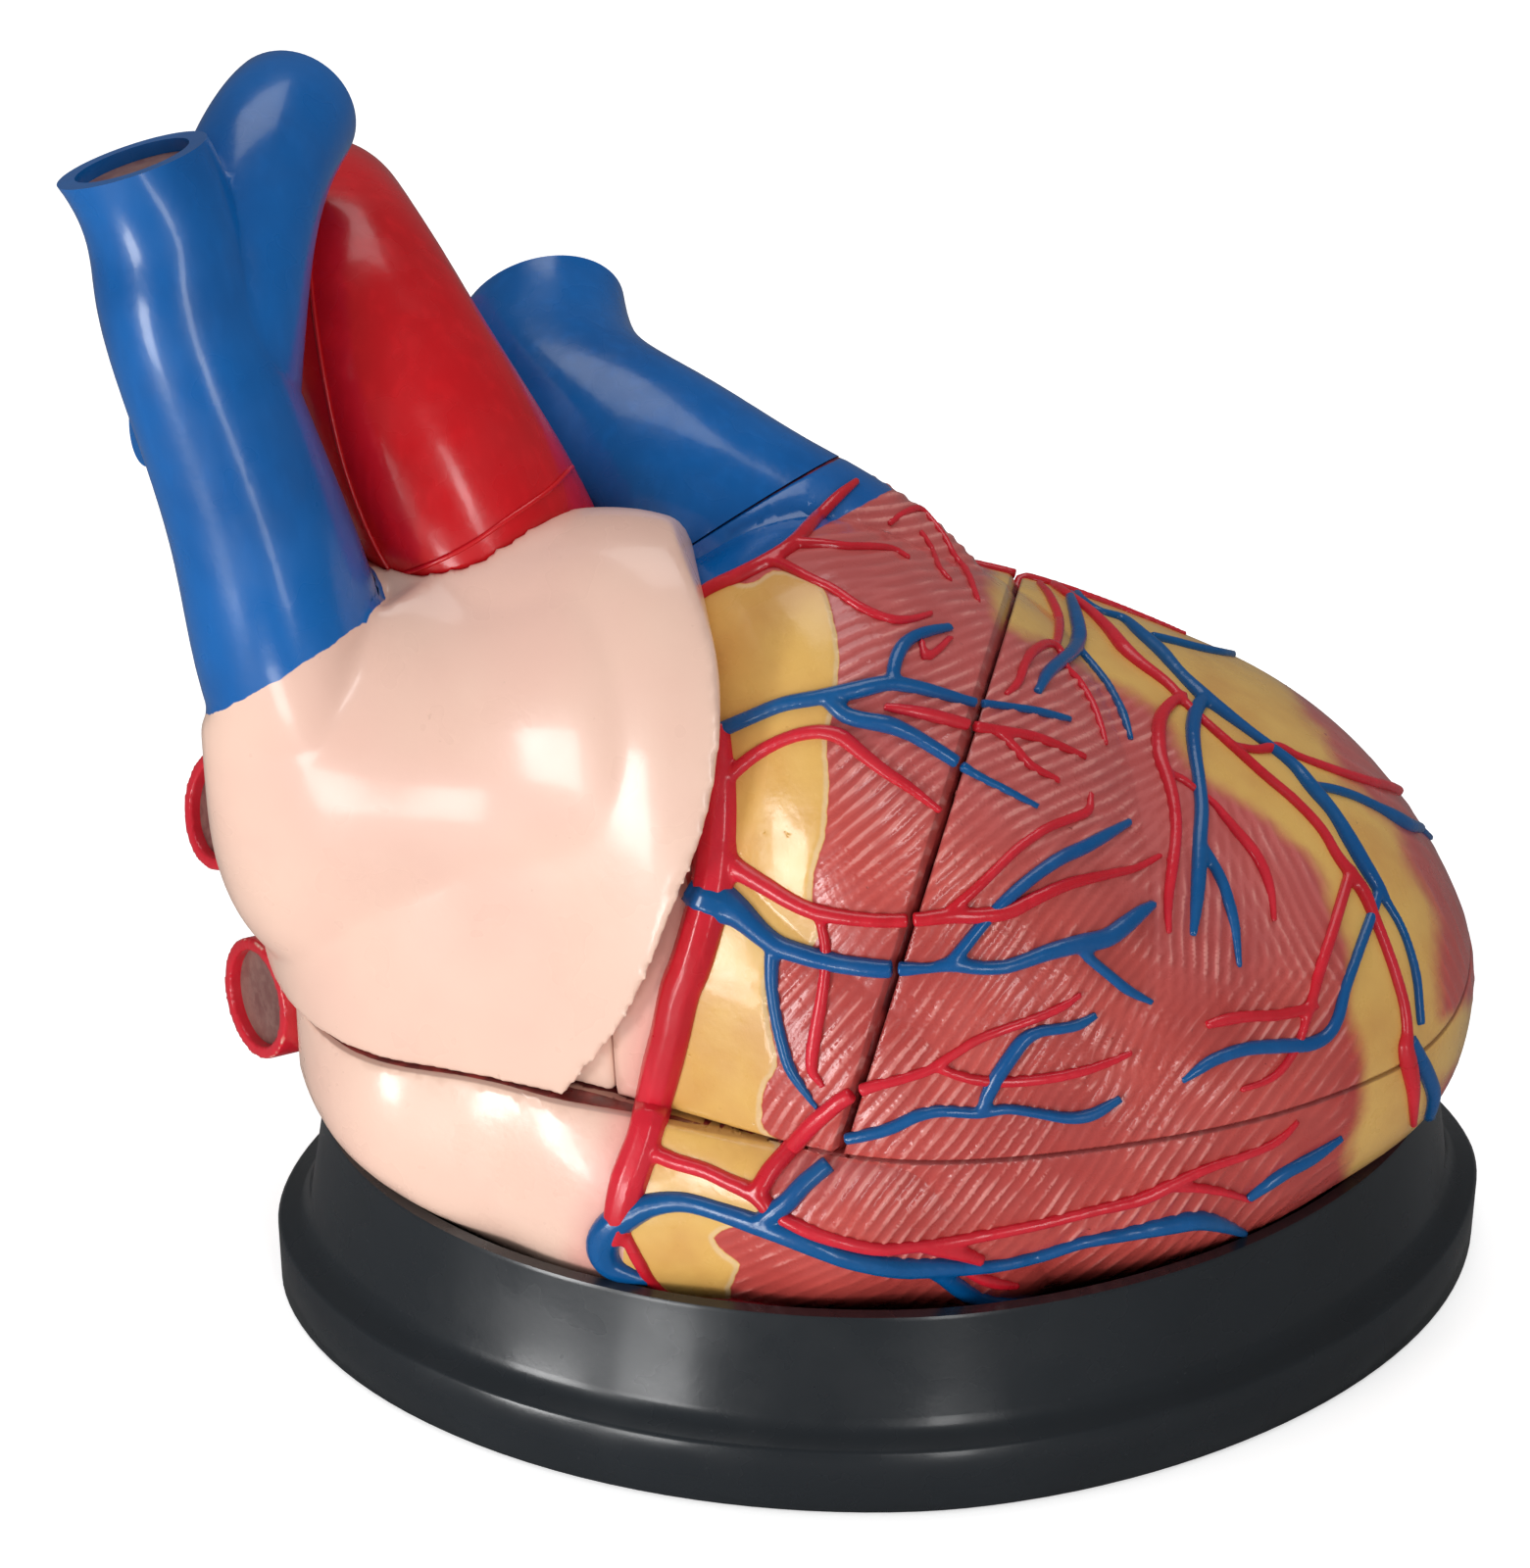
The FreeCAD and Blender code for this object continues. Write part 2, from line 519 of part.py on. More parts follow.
def stumps(ends, radius_of, wall, keep, body):
    """Short vessel stumps with a shallow lumen, and the discs that close them."""
    stubs = []
    discs = []
    for index, (start, end) in enumerate(ends):
        mouth = vec(end)
        direction = unit(mouth - vec(start))
        radius = radius_of[index]
        recess = Part.makeCylinder(radius - wall, HUGE, mouth - direction * (DISC_RECESS + DISC_THICKNESS), direction)
        stubs.append(biggest(rod(start, end, radius).cut(recess).cut(body).common(keep)))
        discs.append(mouth_disc(mouth, direction, radius - wall).cut(body).common(keep))
    return stubs, discs


def dome(place, grow=0.0):
    """Flat spherical cap standing on the parting face."""
    radius = (DOME_RADIUS ** 2 + DOME_HEIGHT ** 2) / (2 * DOME_HEIGHT)
    floor = PARTING_HEIGHT - SEAM_GAP / 2
    centre = Vector(place.x, place.y, floor + DOME_HEIGHT - radius)
    return Part.makeSphere(radius + grow, centre).common(above(floor))


def magnet(place, side):
    """Disc magnet flush with the parting face, above it for side 1 and below for side -1."""
    face = PARTING_HEIGHT + side * SEAM_GAP / 2
    return Part.makeCylinder(MAGNET_RADIUS, MAGNET_THICKNESS, Vector(place.x, place.y, face), Vector(0, 0, side))


def dowel(place, grow=0.0):
    start = Vector(place.x, place.y, PARTING_HEIGHT - DOWEL_LENGTH / 2 - grow)
    return Part.makeCylinder(DOWEL_RADIUS + grow, DOWEL_LENGTH + 2 * grow, start, Vector(0, 0, 1))


def papillaries(pairs, shell):
    return [biggest(rod(foot, tip, PAPILLARY_RADIUS, PAPILLARY_TIP).cut(shell)) for foot, tip in pairs]


def chords(pairs, centre, radius, count, leaflets, muscles):
    """Fine cords from each papillary tip to the free edge of its valve."""
    edge_centre = centre + unit(VALVE_NORMAL) * LEAFLET_LENGTH
    frame = FreeCAD.Rotation(Vector(0, 0, 1), unit(VALVE_NORMAL))
    edge_radius = radius * FREE_EDGE + LEAFLET_THICKNESS / 2
    cords = []
    for index in range(count):
        tip = vec(pairs[index * len(pairs) // count][1])
        angle = 2 * math.pi * (index + 0.5) / count
        spoke = frame.multVec(Vector(math.cos(angle), math.sin(angle), 0)) * edge_radius
        cord = rod(tip, edge_centre + spoke, CHORD_RADIUS)
        cords.append(cord.cut(leaflets).cut(muscles))
    return cords


def cut_all(shape, tools):
    for tool in tools:
        shape = shape.cut(tool)
    return shape


def wall_places(middle_body, items):
    return [wall_place(middle_body, x, side) for x, side in items]


def valve_set(parts, name, centre, radius, count, pairs):
    """Leaflets of one inflow valve with its papillary muscles and chordae."""
    leaflets = skirt(centre, VALVE_NORMAL, radius, LEAFLET_LENGTH, LEAFLET_THICKNESS, LEAFLET_SLOT, count)
    muscles = papillaries(pairs, parts["lower_heart"])
    cords = chords(pairs, centre, radius, CHORD_COUNT, leaflets, Part.makeCompound(muscles))
    parts[name + "_leaflets"] = group([leaflets])
    parts[name + "_papillary_muscles"] = group(muscles)
    parts[name + "_chordae"] = Part.makeCompound([biggest(cord) for cord in cords])


def make_lower_pieces(parts, region, rooms, pins):
    tricuspid = on_valve_plane(TRICUSPID_PLACE)
    mitral = on_valve_plane(MITRAL_PLACE)
    ways = []
    for centre, radius in ((tricuspid, TRICUSPID_RADIUS), (mitral, MITRAL_RADIUS)):
        start = centre - unit(VALVE_NORMAL) * VALVE_WALL
        ways.append(Part.makeCylinder(radius, 2 * VALVE_WALL, start, VALVE_NORMAL))
    domes = [dome(place) for place in pins["domes"]]
    magnets = [magnet(place, -1) for place in pins["magnets"]]
    holes = [dowel(place, DOWEL_CLEARANCE) for place in pins["dowels"]]
    whole = lower_form()
    parts["lower_heart"] = biggest(cut_all(whole.common(region["lower"]), rooms + ways + magnets + holes))
    parts["locating_domes"] = group(domes)
    parts["lower_magnets"] = group(magnets)
    valve_set(parts, "tricuspid", tricuspid, TRICUSPID_RADIUS, 3, RIGHT_PAPILLARIES)
    valve_set(parts, "mitral", mitral, MITRAL_RADIUS, 2, LEFT_PAPILLARIES)

    stubs, discs = stumps(LOWER_VEINS, [VEIN_RADIUS] * len(LOWER_VEINS), VEIN_WALL, region["lower"], whole)
    x, y = LOWER_CAVA_PLACE
    floor = STAND_FLOOR + LOWER_CAVA_CLEAR
    cava_ends = [((x, y, PARTING_HEIGHT / 2), (x, y, floor))]
    cava, cava_discs = stumps(cava_ends, [LOWER_CAVA_RADIUS], VEIN_WALL, region["lower"], whole)
    parts["inferior_vena_cava"] = cava[0]
    parts["lower_vein_stubs"] = group(stubs)
    parts["lower_lumen_discs"] = group(discs + cava_discs)


def make_lid_and_outflow(parts, region, rooms, outer, inner, pins):
    form = hull().fuse(side_body(CONUS_SECTIONS))
    hollows = rooms[:2] + [inner["pulmonary"], inner["aorta"]]
    domes = [dome(place, DOME_CLEARANCE) for place in pins["domes"]]
    magnets = [magnet(place, 1) for place in pins["lid_magnets"]]
    parts["ventricle_lid"] = biggest(cut_all(form.common(region["lid"]), hollows + domes + magnets))
    parts["lid_magnets"] = group(magnets)
    band = rod(BAND_START, BAND_END, BAND_RADIUS).common(rooms[0]).cut(parts["ventricle_lid"])
    parts["moderator_band"] = biggest(band)

    magnets = [magnet(place, 1) for place in pins["outflow_magnets"]]
    dowels = [dowel(place) for place in pins["dowels"]]
    rooted = form.fuse(outer["pulmonary"]).common(region["outflow"])
    parts["outflow_shell"] = biggest(cut_all(rooted, hollows + domes + magnets + dowels))
    parts["outflow_magnets"] = group(magnets)
    parts["outflow_dowels"] = group(dowels)
    radius = PULMONARY_RADII[1] - VESSEL_WALL
    parts["pulmonary_valve_cusps"] = cusps(PULMONARY_CUSP_PLACE, PULMONARY_PATH[1:3], radius, parts["outflow_shell"])


def cusps(place, path, radius, shell):
    """Three pocket cusps of an outflow valve, seated in their vessel's wall."""
    direction = vec(path[1]) - vec(path[0])
    ring = skirt(vec(place), direction, radius, CUSP_LENGTH, CUSP_THICKNESS, CUSP_SLOT, 3)
    return group([ring.cut(shell)])


def make_vessel_pieces(parts, region, rooms, outer, inner, pins):
    body = hull()
    keep = region["vessels"]
    foot = half_space(CAVA_FOOT_POINT, CAVA_FOOT_NORMAL * -1)
    domes = [dome(place, DOME_CLEARANCE) for place in pins["domes"]]
    magnets = [magnet(place, 1) for place in pins["atrium_magnets"]]
    tubes = [outer["aorta"], outer["pulmonary"], inner["cava"]]
    parts["atrium_shell"] = biggest(cut_all(body.common(keep), rooms[2:] + tubes + domes + magnets))
    parts["atrium_magnets"] = group(magnets)

    form_gap = hull(AURICLE_GAP).fuse(side_body(CONUS_SECTIONS, AURICLE_GAP))
    over_outflow = form_gap.common(half_space(VALVE_POINT, VALVE_NORMAL, -SEAM_GAP))
    root_gap = tube(PULMONARY_PATH, PULMONARY_RADII, AURICLE_GAP)
    cava_top = outer["cava"].cut(foot)
    lobe = auricle_lobe().fuse(outer["cava"].common(foot)).common(region["upper"])
    neighbours = [body, over_outflow, root_gap, outer["aorta"], cava_top, inner["cava"]]
    parts["right_auricle"] = biggest(cut_all(lobe, neighbours))

    cava = cava_top.cut(inner["cava"])
    parts["superior_vena_cava"] = biggest(cava)
    parts["aorta"] = biggest(outer["aorta"].common(keep).cut(inner["aorta"]))
    trunk = outer["pulmonary"].common(keep).cut(inner["pulmonary"]).cut(outer["aorta"])
    parts["pulmonary_trunk"] = biggest(trunk)
    branch_ends = [(start, end) for start, end, radius in ARCH_BRANCHES]
    branch_radii = [radius for start, end, radius in ARCH_BRANCHES]
    branches, branch_discs = stumps(branch_ends, branch_radii, BRANCH_WALL, keep, outer["aorta"])
    parts["arch_branches"] = group(branches)
    stubs, discs = stumps(UPPER_VEINS, [VEIN_RADIUS] * len(UPPER_VEINS), VEIN_WALL, keep, body)
    parts["upper_vein_stubs"] = group(stubs)
    walls = [parts[name] for name in ("superior_vena_cava", "aorta", "pulmonary_trunk")]
    for path, radii in VESSEL_MOUTHS:
        discs.append(cut_all(mouth_disc(*path_mouth(path, radii)), walls))
    parts["upper_lumen_discs"] = group(discs + branch_discs)
    radius = AORTA_RADII[3] - VESSEL_WALL
    parts["aortic_valve_cusps"] = cusps(AORTIC_CUSP_PLACE, AORTA_PATH[2:4], radius, parts["aorta"])


def make_heart():
    parts = {}
    region = regions()
    outer, inner = great_vessels()
    rooms = chambers(outer)
    ventricle_middle = hull(-VENTRICLE_WALL / 2)
    atrium_middle = hull(-ATRIUM_WALL / 2)
    lid_magnets = wall_places(ventricle_middle, LID_MAGNETS)
    outflow_magnets = wall_places(ventricle_middle, OUTFLOW_MAGNETS)
    atrium_magnets = wall_places(atrium_middle, ATRIUM_MAGNETS)
    pins = {
        "domes": wall_places(ventricle_middle, LID_DOMES + OUTFLOW_DOMES) + wall_places(atrium_middle, ATRIUM_DOMES),
        "magnets": lid_magnets + outflow_magnets + atrium_magnets,
        "lid_magnets": lid_magnets,
        "outflow_magnets": outflow_magnets,
        "atrium_magnets": atrium_magnets,
        "dowels": wall_places(ventricle_middle, OUTFLOW_DOWELS),
    }
    make_lower_pieces(parts, region, rooms, pins)
    make_lid_and_outflow(parts, region, rooms, outer, inner, pins)
    make_vessel_pieces(parts, region, rooms, outer, inner, pins)
    return parts


def main():
    os.makedirs("parts", exist_ok=True)
    parts = {"stand": make_stand(), "stand_feet": Part.makeCompound(feet()), "cradle_pads": make_saddles()}
    parts.update(make_heart())
    for name, shape in parts.items():
        shape.exportStep("parts/" + name + ".step")
        check(name, shape)


def check(name, shape):
    box = shape.BoundBox
    print("%-26s solids %d valid %s volume %.0f  x %.0f..%.0f y %.0f..%.0f z %.0f..%.0f" % (
        name, len(shape.Solids), shape.isValid(), shape.Volume,
        box.XMin, box.XMax, box.YMin, box.YMax, box.ZMin, box.ZMax))


if __name__ == "__main__":
    main()
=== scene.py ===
import json
import math
from contextlib import contextmanager

import bmesh
import bpy
import numpy as np
from bpy.props import FloatProperty, FloatVectorProperty, IntProperty, PointerProperty
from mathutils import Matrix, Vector
from mathutils.bvhtree import BVHTree

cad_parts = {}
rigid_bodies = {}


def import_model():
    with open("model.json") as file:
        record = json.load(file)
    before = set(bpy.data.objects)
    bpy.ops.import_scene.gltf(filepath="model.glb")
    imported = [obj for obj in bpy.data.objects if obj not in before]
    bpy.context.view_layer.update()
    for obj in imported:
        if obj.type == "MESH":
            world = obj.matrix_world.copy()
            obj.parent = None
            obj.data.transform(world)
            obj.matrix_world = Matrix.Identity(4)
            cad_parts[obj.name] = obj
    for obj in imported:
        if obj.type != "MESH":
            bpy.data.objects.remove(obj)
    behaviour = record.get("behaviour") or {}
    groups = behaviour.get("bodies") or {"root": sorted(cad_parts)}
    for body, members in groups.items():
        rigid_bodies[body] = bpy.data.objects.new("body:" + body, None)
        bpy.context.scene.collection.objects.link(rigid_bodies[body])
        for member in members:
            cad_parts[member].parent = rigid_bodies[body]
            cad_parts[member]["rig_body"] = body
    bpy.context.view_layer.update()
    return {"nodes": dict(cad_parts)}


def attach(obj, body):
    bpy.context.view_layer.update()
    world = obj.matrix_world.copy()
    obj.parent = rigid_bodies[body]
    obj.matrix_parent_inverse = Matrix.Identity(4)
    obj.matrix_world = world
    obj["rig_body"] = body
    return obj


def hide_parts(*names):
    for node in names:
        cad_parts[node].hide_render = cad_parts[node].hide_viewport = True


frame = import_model()
NODES = frame["nodes"]

bl_info = {
    "name": "Heart teaching model",
    "version": (1, 0, 0),
    "blender": (4, 5, 0),
    "location": "3D View > Sidebar > Heart",
    "description": "Dresses the take-apart heart and its oval stand",
    "category": "Object",
}

MM = 0.001

# ---- drawing bench: vessels and paint edges are drawn on a board in front of the heart
# A place on the board is (across, down) on a sheet of BOARD_WIDTH by BOARD_HEIGHT units. The sheet is
# seen from the eye, and a line drawn on it is dropped along the line of sight on to the surface.
BOARD_WIDTH = 1561
BOARD_HEIGHT = 1600
BOARD_FOCUS = 4320.0       # distance from the eye to the sheet, in its own units
EYE_AZIMUTH = math.radians(-6.5)
EYE_ELEVATION = math.radians(30.0)
EYE_DISTANCE = 1.0
EYE_TARGET = Vector((-0.029, 0.0033, 0.131))
UNITS_PER_MM = BOARD_FOCUS * MM / EYE_DISTANCE


def bench(azimuth):
    """Eye point and the board's axes (right, up, forward) for an eye at this azimuth."""
    flat = math.cos(EYE_ELEVATION)
    back = Vector((math.sin(azimuth) * flat, -math.cos(azimuth) * flat, math.sin(EYE_ELEVATION)))
    right = (-back).cross(Vector((0, 0, 1))).normalized()
    return EYE_TARGET + back * EYE_DISTANCE, right, right.cross(-back), -back


FRONT = bench(EYE_AZIMUTH)
REAR = bench(EYE_AZIMUTH + math.pi)


# ---- planes that part the heart, in metres; they follow the CAD
PARTING_HEIGHT_MM = 88.0   # the level joint between the lower half and the pieces that stand on it
LEVEL_POINT = Vector((0.0, 0.0, PARTING_HEIGHT_MM * MM))
LEVEL_NORMAL = Vector((0.0, 0.0, 1.0))
TRUNK_POINT = Vector((-0.029, 0.005, 0.204))
TRUNK_NORMAL = Vector((-0.457, 0.481, 0.748)).normalized()
LID_POINT = Vector((-0.024, -0.091, 0.088))
LID_NORMAL = Vector((0.927, -0.291, -0.236)).normalized()
VALVE_POINT = Vector((-0.072, -0.064, 0.088))
VALVE_NORMAL = Vector((0.915, -0.398, 0.062)).normalized()
PARTING_PLANES = (         # point, normal, and how far from the plane its cut faces lie, in mm
    (LEVEL_POINT, LEVEL_NORMAL, 1.2),
    (LID_POINT, LID_NORMAL, 3.6),
    (VALVE_POINT, VALVE_NORMAL, 1.2),
    (TRUNK_POINT, TRUNK_NORMAL, 2.2),
)
GROOVE_POINT = Vector((-0.062, -0.070, 0.095))
GROOVE_NORMAL = Vector((0.86, -0.374, -0.12)).normalized()   # atria lie behind this plane
GROOVE_TOP_POINT = Vector((-0.056, -0.070, 0.138))
GROOVE_TOP_NORMAL = Vector((0.86, -0.374, 0.45)).normalized()   # and behind this one higher up
ROOT_DEPTH_MM = 11.6       # blue paint runs this far below the parting of the pulmonary trunk
ROOT_REACH_MM = 36.0       # and no farther than this from its middle

# ---- joints as they show on the painted skin, in mm
SEAM_HALF_MM = 0.2         # half the gap of the level joint
LID_HALF_MM = 1.15         # half the gap of the lid's joint
SEAM_GROOVE_MM = 0.3       # the skin sinks by this much along a joint
SEAM_WIDTH_MM = 0.7        # and within about this distance
SEAM_CLEAR_MM = 1.2        # fibres and fat die away this near to a joint
SEAM_REACH_MM = 0.8        # a vessel is drawn out by this much at each end
LID_TONGUE_MM = 2.27       # tongue of the outflow piece that closes the lid's open joint to light
LID_INSET_MM = 2.6         # it stands back from the skin by this much
ROOT_TONGUE_MM = 0.93      # the same for the trunk's joint, which opens towards the apex
ROOT_TONGUE_SLOPE = 0.0343
ROOT_TONGUE_LEAST_MM = 0.38
ROOT_INSET_MM = 1.2

# ---- the skin of the ventricle walls
PARTING_REACH_MM = 3.6     # a face this near to the next piece is a parting face
SKIN_CLEARANCE_MM = 0.35   # a line of sight starts this far off the surface
SLANT_CLEARANCE_MM = 1.5   # and a slanting one this far
SLANTS = ((1, 1), (-1, 1), (-1, -1), (1, -1))
SLANT_RISE = 1.1
SLANTS_NEEDED = 2          # a spot can be seen when this many slanting lines leave the heart
SIGHT = 0.3                # farther than this a line of sight has left the heart
LEVEL_FACE = 0.95          # a face this level
LEVEL_FACE_MM = 0.8        # and this near to the level joint is a cut face
CUT_FACE = 0.97            # the same for a face that gets a tongue
CUT_FACE_MM = 1.6
FIRST_GRAIN_MM = 8.0       # triangles are this fine before the outside is told from the inside
FIRST_ROUNDS = 4
GRAIN_ROUNDS = 6
PLAIN_GRAIN = 3.0          # times the wall's grain where no fibres show
FIBRE_FOOT = 0.042         # lower than this the stand hides the fibres
FIBRE_MARGIN_MM = 4.0      # the fine grain runs this far past the groove
OUTSIDE_FADE_MM = 0.6      # relief dies away over this depth below the outer skin
SIDE_FADE_MM = 26.0        # paint from the board fades over this much where the wall turns away
SIDE_TURN = 0.12           # it ends where the wall has turned past the eye by this cosine
FAT_TURN = 0.4             # the fat in front runs on round the side, to this cosine
FAT_ROUND_MM = 0.9         # width of the fat's rounded edge
FIBRE_END_MM = 0.5         # fibres die away this far outside another paint
GROOVE_FADE_MM = 4.0       # and over this width at the edge of the groove's fat
# Painted light from above starts where the normal rises this far, and is full over the fade.
UPPER_FROM = 0.35          # the wall counts as its upper side from this rise of its normal
UPPER_FADE = 0.4
NO_BLUSH_MM = 60.0
NO_ROOT_MM = -50.0
WALL_SHARP = 48.0          # degrees between faces that still shade as one
CAD_SHARP = 32.0
WALL_NODES = ("lower_heart", "ventricle_lid", "outflow_shell", "atrium_shell")
HEART_NODES = WALL_NODES + ("right_auricle", "superior_vena_cava", "aorta", "pulmonary_trunk",
                            "arch_branches", "upper_vein_stubs", "lower_vein_stubs",
                            "inferior_vena_cava")

# ---- other meshes
SAME_CORNER = 1e-6         # corners of the CAD's triangles this near to each other are one
SHELL_SOFTENING = 9        # rounds of smoothing
VESSEL_SOFTENING = 3
STUB_SOFTENING = 2
STUB_GRAIN_MM = 0.7
ROUTE_STEP = 1.5           # board units between the places where a route is dropped on the wall
ROUTE_LEAP_MM = 2.4        # a farther step than this parts a vessel
KNOT_GAP_MM = 1.3          # least distance between two knots of a vessel
FINE_RADIUS = 0.8          # the axis of a vessel this fine, in mm,
FINE_RISE = 0.32           # lies this share of its radius above the wall
RISE_LOSS = 0.1            # and that of a thicker one lower, for each mm
LEAST_RISE = -0.05
BORDER_MM = 20.0           # the blue paint's border isn't measured farther off than this
CAVA_SHARE = 0.4           # the plain vein starts at this share of the shell's overlap

